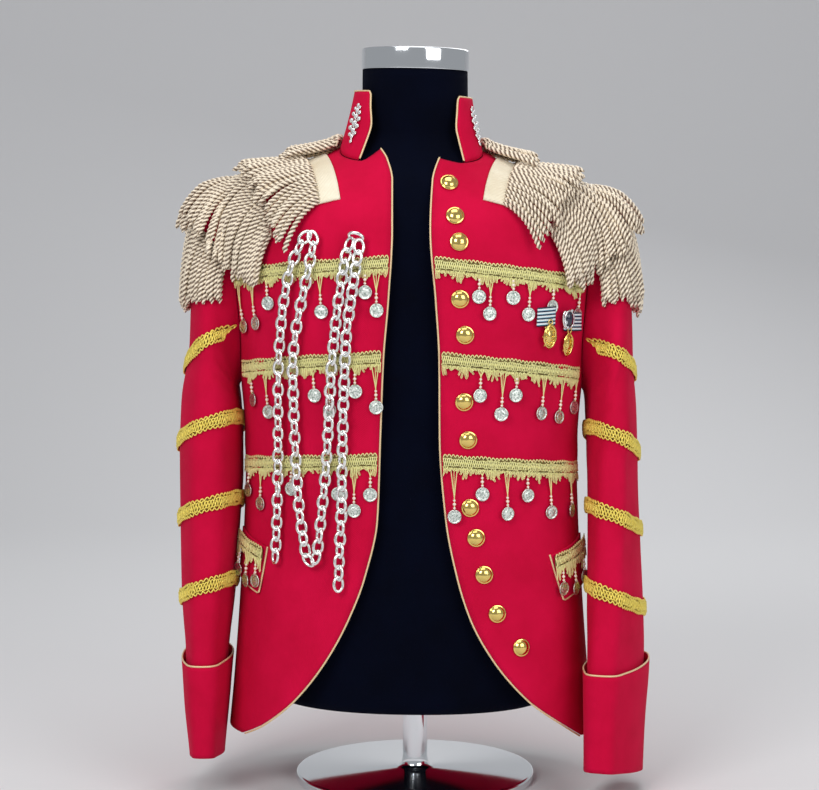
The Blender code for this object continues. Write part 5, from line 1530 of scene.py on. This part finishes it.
def makeOrnaments():
    part, gap = ornament["part"], ornament["gap"]
    leaves = [(a, b, size) for a, b, size in spray if a]
    for side, word in bothSides:
        start, end = float(read(endCurves[1], part)), 360 - float(read(endCurves[0], part))
        angle = ornament["angles"][side]
        share = ((angle if side > 0 else 360 - angle) - start) / (end - start)
        spot = collar(share, part, gap)
        out = collar(share, part, gap + 0.001) - spot
        out /= np.linalg.norm(out)
        up = collar(share, part + 0.1, gap) - spot
        up /= np.linalg.norm(up)
        across = np.cross(up, out)
        stones, setting = Gather(), Gather()
        for a, b, size in spray + [(-a, b, size) for a, b, size in leaves]:
            at = spot + across * a + up * b
            ringOf(setting, at + out * 0.0008, across, up, size * 1.12, size * 1.12,
                   ornament["claw"], 5, 14)
            stones.add(placed(stoneMesh[0] * size, at + out * 0.0009, across, up, out),
                       stoneMesh[1])
        base = spot + out * 0.0003
        stem = [base + up * b
                for b in np.linspace(-ornament["stemHalf"], ornament["stemHalf"], 16)]
        addTube(setting, stem, ornament["stem"], 6)
        for a, b, size in leaves:
            for flip in (-1, 1):
                twig = [base + up * (b - ornament["twigDrop"]), base + across * flip * a + up * b]
                addTube(setting, twig, ornament["twig"], 5)
        stones.build(f"collarStones{word.capitalize()}", clearStone, "jewels", smooth=False)
        setting.build(f"collarOrnament{word.capitalize()}", silver, "jewels",
                      f"collar_ornament_{word}")


# dress form, cap and stand

def makeForm():
    foot, top = formRings[0][0], formRings[-1][0]

    def pointAt(u, v):
        # the jacket's small shift to one side dies out at the neck
        z = foot + (top - foot) * v
        shift = fit["shift"] * (1 - ease((z - 0.665) / 0.035))
        return leaned(ringPoint(formCurves, 360 * u, z, shift))
    form = gridSheet("dressForm", 80, 84, pointAt, (0.9, 0.67))
    weldSeam(form)
    makeActive(form)
    bpy.ops.object.mode_set(mode="EDIT")
    bpy.ops.mesh.select_all(action="DESELECT")
    bpy.ops.mesh.select_mode(type="EDGE")
    bpy.ops.mesh.select_non_manifold()
    bpy.ops.mesh.edge_face_add()
    bpy.ops.object.mode_set(mode="OBJECT")
    form.data.shade_smooth()
    for face in form.data.polygons:
        if len(face.vertices) > 4:
            face.use_smooth = False
    finishPiece(form, blackJersey, "dress_form")


stand = {"baseRadius": 0.130, "baseThick": 0.009, "edge": 0.003, "post": 0.0135,
         "plate": 0.034, "plateThick": 0.005, "top": 0.0922, "postFoot": 0.022,
         "capRadius": 0.0572, "capBottom": 0.7665, "capTop": 0.7890}


def turnedPiece(name, profile, mat, node):
    # a profile spun round Z in 96 steps
    mesh = bpy.data.meshes.new(name)
    mesh.from_pydata([(r, 0, z) for r, z in profile],
                     [(i, i + 1) for i in range(len(profile) - 1)], [])
    obj = bpy.data.objects.new(name, mesh)
    bpy.context.scene.collection.objects.link(obj)
    makeActive(obj)
    spun = obj.modifiers.new("spin", "SCREW")
    spun.steps = 96
    spun.render_steps = 96
    spun.use_merge_vertices = True
    spun.merge_threshold = 0.00001
    bpy.ops.object.modifier_apply(modifier=spun.name)
    bpy.ops.object.mode_set(mode="EDIT")
    bpy.ops.mesh.select_all(action="SELECT")
    bpy.ops.mesh.remove_doubles(threshold=0.00001)
    bpy.ops.mesh.normals_make_consistent(inside=False)
    bpy.ops.object.mode_set(mode="OBJECT")
    bpy.ops.object.shade_smooth_by_angle(angle=math.radians(35))
    return finishPiece(obj, mat, node)


def rounded(corner, before, after, radius, count=4):
    # points of a rounded corner of a profile
    c, a, b = [np.array(p, float) for p in (corner, before, after)]
    start = c + (a - c) / np.linalg.norm(a - c) * radius
    end = c + (b - c) / np.linalg.norm(b - c) * radius
    return [tuple((1 - t) ** 2 * start + 2 * t * (1 - t) * c + t * t * end)
            for t in np.linspace(0, 1, count + 1)]


def makeStand():
    s = stand
    plate, post, foot, base = s["plate"], s["post"], s["postFoot"], s["baseRadius"]
    top, thick = s["top"], s["baseThick"]
    low = top - s["plateThick"]
    profile = [(0, top), *rounded((plate, top), (0, top), (plate, low), 0.001),
               (plate, low), (post, low), (post, foot),
               *rounded((post * 1.1, 0.012), (post, foot), (0.04, thick), 0.006),
               *rounded((base, thick), (0, thick), (base, 0), s["edge"]),
               (base, 0.0005), (base - 0.0005, 0), (0, 0)]
    turnedPiece("stand", profile, chrome, "stand")
    r, top, bottom = s["capRadius"], s["capTop"], s["capBottom"]
    profile = [(0, top), *rounded((r, top), (0, top), (r, bottom), 0.0022),
               *rounded((r, bottom), (r, top), (0, bottom), 0.0008, 2), (0, bottom)]
    cap = turnedPiece("neckCap", profile, chrome, "neck_cap")
    turn = Matrix.Rotation(fit["leanHigh"], 4, "Y")
    cap.data.transform(Matrix.Translation((-fit["leanHigh"] * bottom, 0, 0)) @ turn)
makeForm()
makeStand()
print("form and stand made")
makeBody()
makeSleeves()
makeCuffs()
makeCollar()
makeFlaps()
print("cloth made")
makePiping()
makeButtons()
makeChestBraid()
makeSleeveBraid()
makeFlapBraid()
print("braid, coins and buttons made")
makeChain()
makeRibbons()
makeMedals()
makeBrooch()
makeOrnaments()
makeFringe(buildHull())
print("chain, medals and fringe made")


# floor, light and camera

studio = {"floor": (0.72, 0.72, 0.73), "sky": (0.80, 0.82, 0.85, 1), "skyStrength": 0.42,
          "wide": 6.0, "run": 7.0, "front": -2.6, "flat": 4.4, "bend": 1.3, "under": 0.0005,
          "aim": (0, 0, 0.42), "camera": (-0.006, -2.4, 0.64), "down": 5.25, "lens": 98.1}
# place, size and power
lamps = {"key": ((-1.3, -2.3, 1.9), 1.3, 36), "fill": ((1.6, -2.0, 1.3), 1.5, 20),
         "top": ((0.0, -0.2, 2.6), 1.6, 16), "rim": ((0.6, 2.0, 1.8), 1.4, 16)}


def sweep(u, v):
    # flat floor that curves up into the wall behind
    flat, bend = studio["flat"], studio["bend"]
    run = studio["run"] * v
    turn = np.clip((run - flat) / bend, 0, math.pi / 2)
    y = studio["front"] + np.minimum(run, flat) + bend * np.sin(turn)
    z = bend * (1 - np.cos(turn)) + np.maximum(0, run - flat - bend * math.pi / 2)
    return np.stack([studio["wide"] * (u - 0.5), y, z - studio["under"]], -1)


def makeStage():
    scene = bpy.context.scene
    floor = gridSheet("paleFloor", 4, 60, sweep, (6, 7))
    floor.data.shade_smooth()
    floor.data.materials.append(newMaterial("paleFloor", studio["floor"], 0.85)[0])
    world = bpy.data.worlds.new("studio")
    scene.world = world
    world.use_nodes = True
    sky = world.node_tree.nodes["Background"].inputs
    sky["Color"].default_value = studio["sky"]
    sky["Strength"].default_value = studio["skyStrength"]
    for name, (spot, size, power) in lamps.items():
        light = bpy.data.lights.new(name, "AREA")
        light.size = size
        light.energy = power
        lamp = bpy.data.objects.new(name, light)
        lamp.location = spot
        way = Vector(studio["aim"]) - Vector(spot)
        lamp.rotation_euler = way.to_track_quat("-Z", "Y").to_euler()
        scene.collection.objects.link(lamp)
    camera = bpy.data.objects.new("photoCamera", bpy.data.cameras.new("photoCamera"))
    camera.location = studio["camera"]
    camera.rotation_euler = (math.radians(90 - studio["down"]), 0, 0)
    camera.data.lens = studio["lens"]
    scene.collection.objects.link(camera)
    scene.camera = camera
    scene.view_settings.view_transform = "Standard"


makeStage()
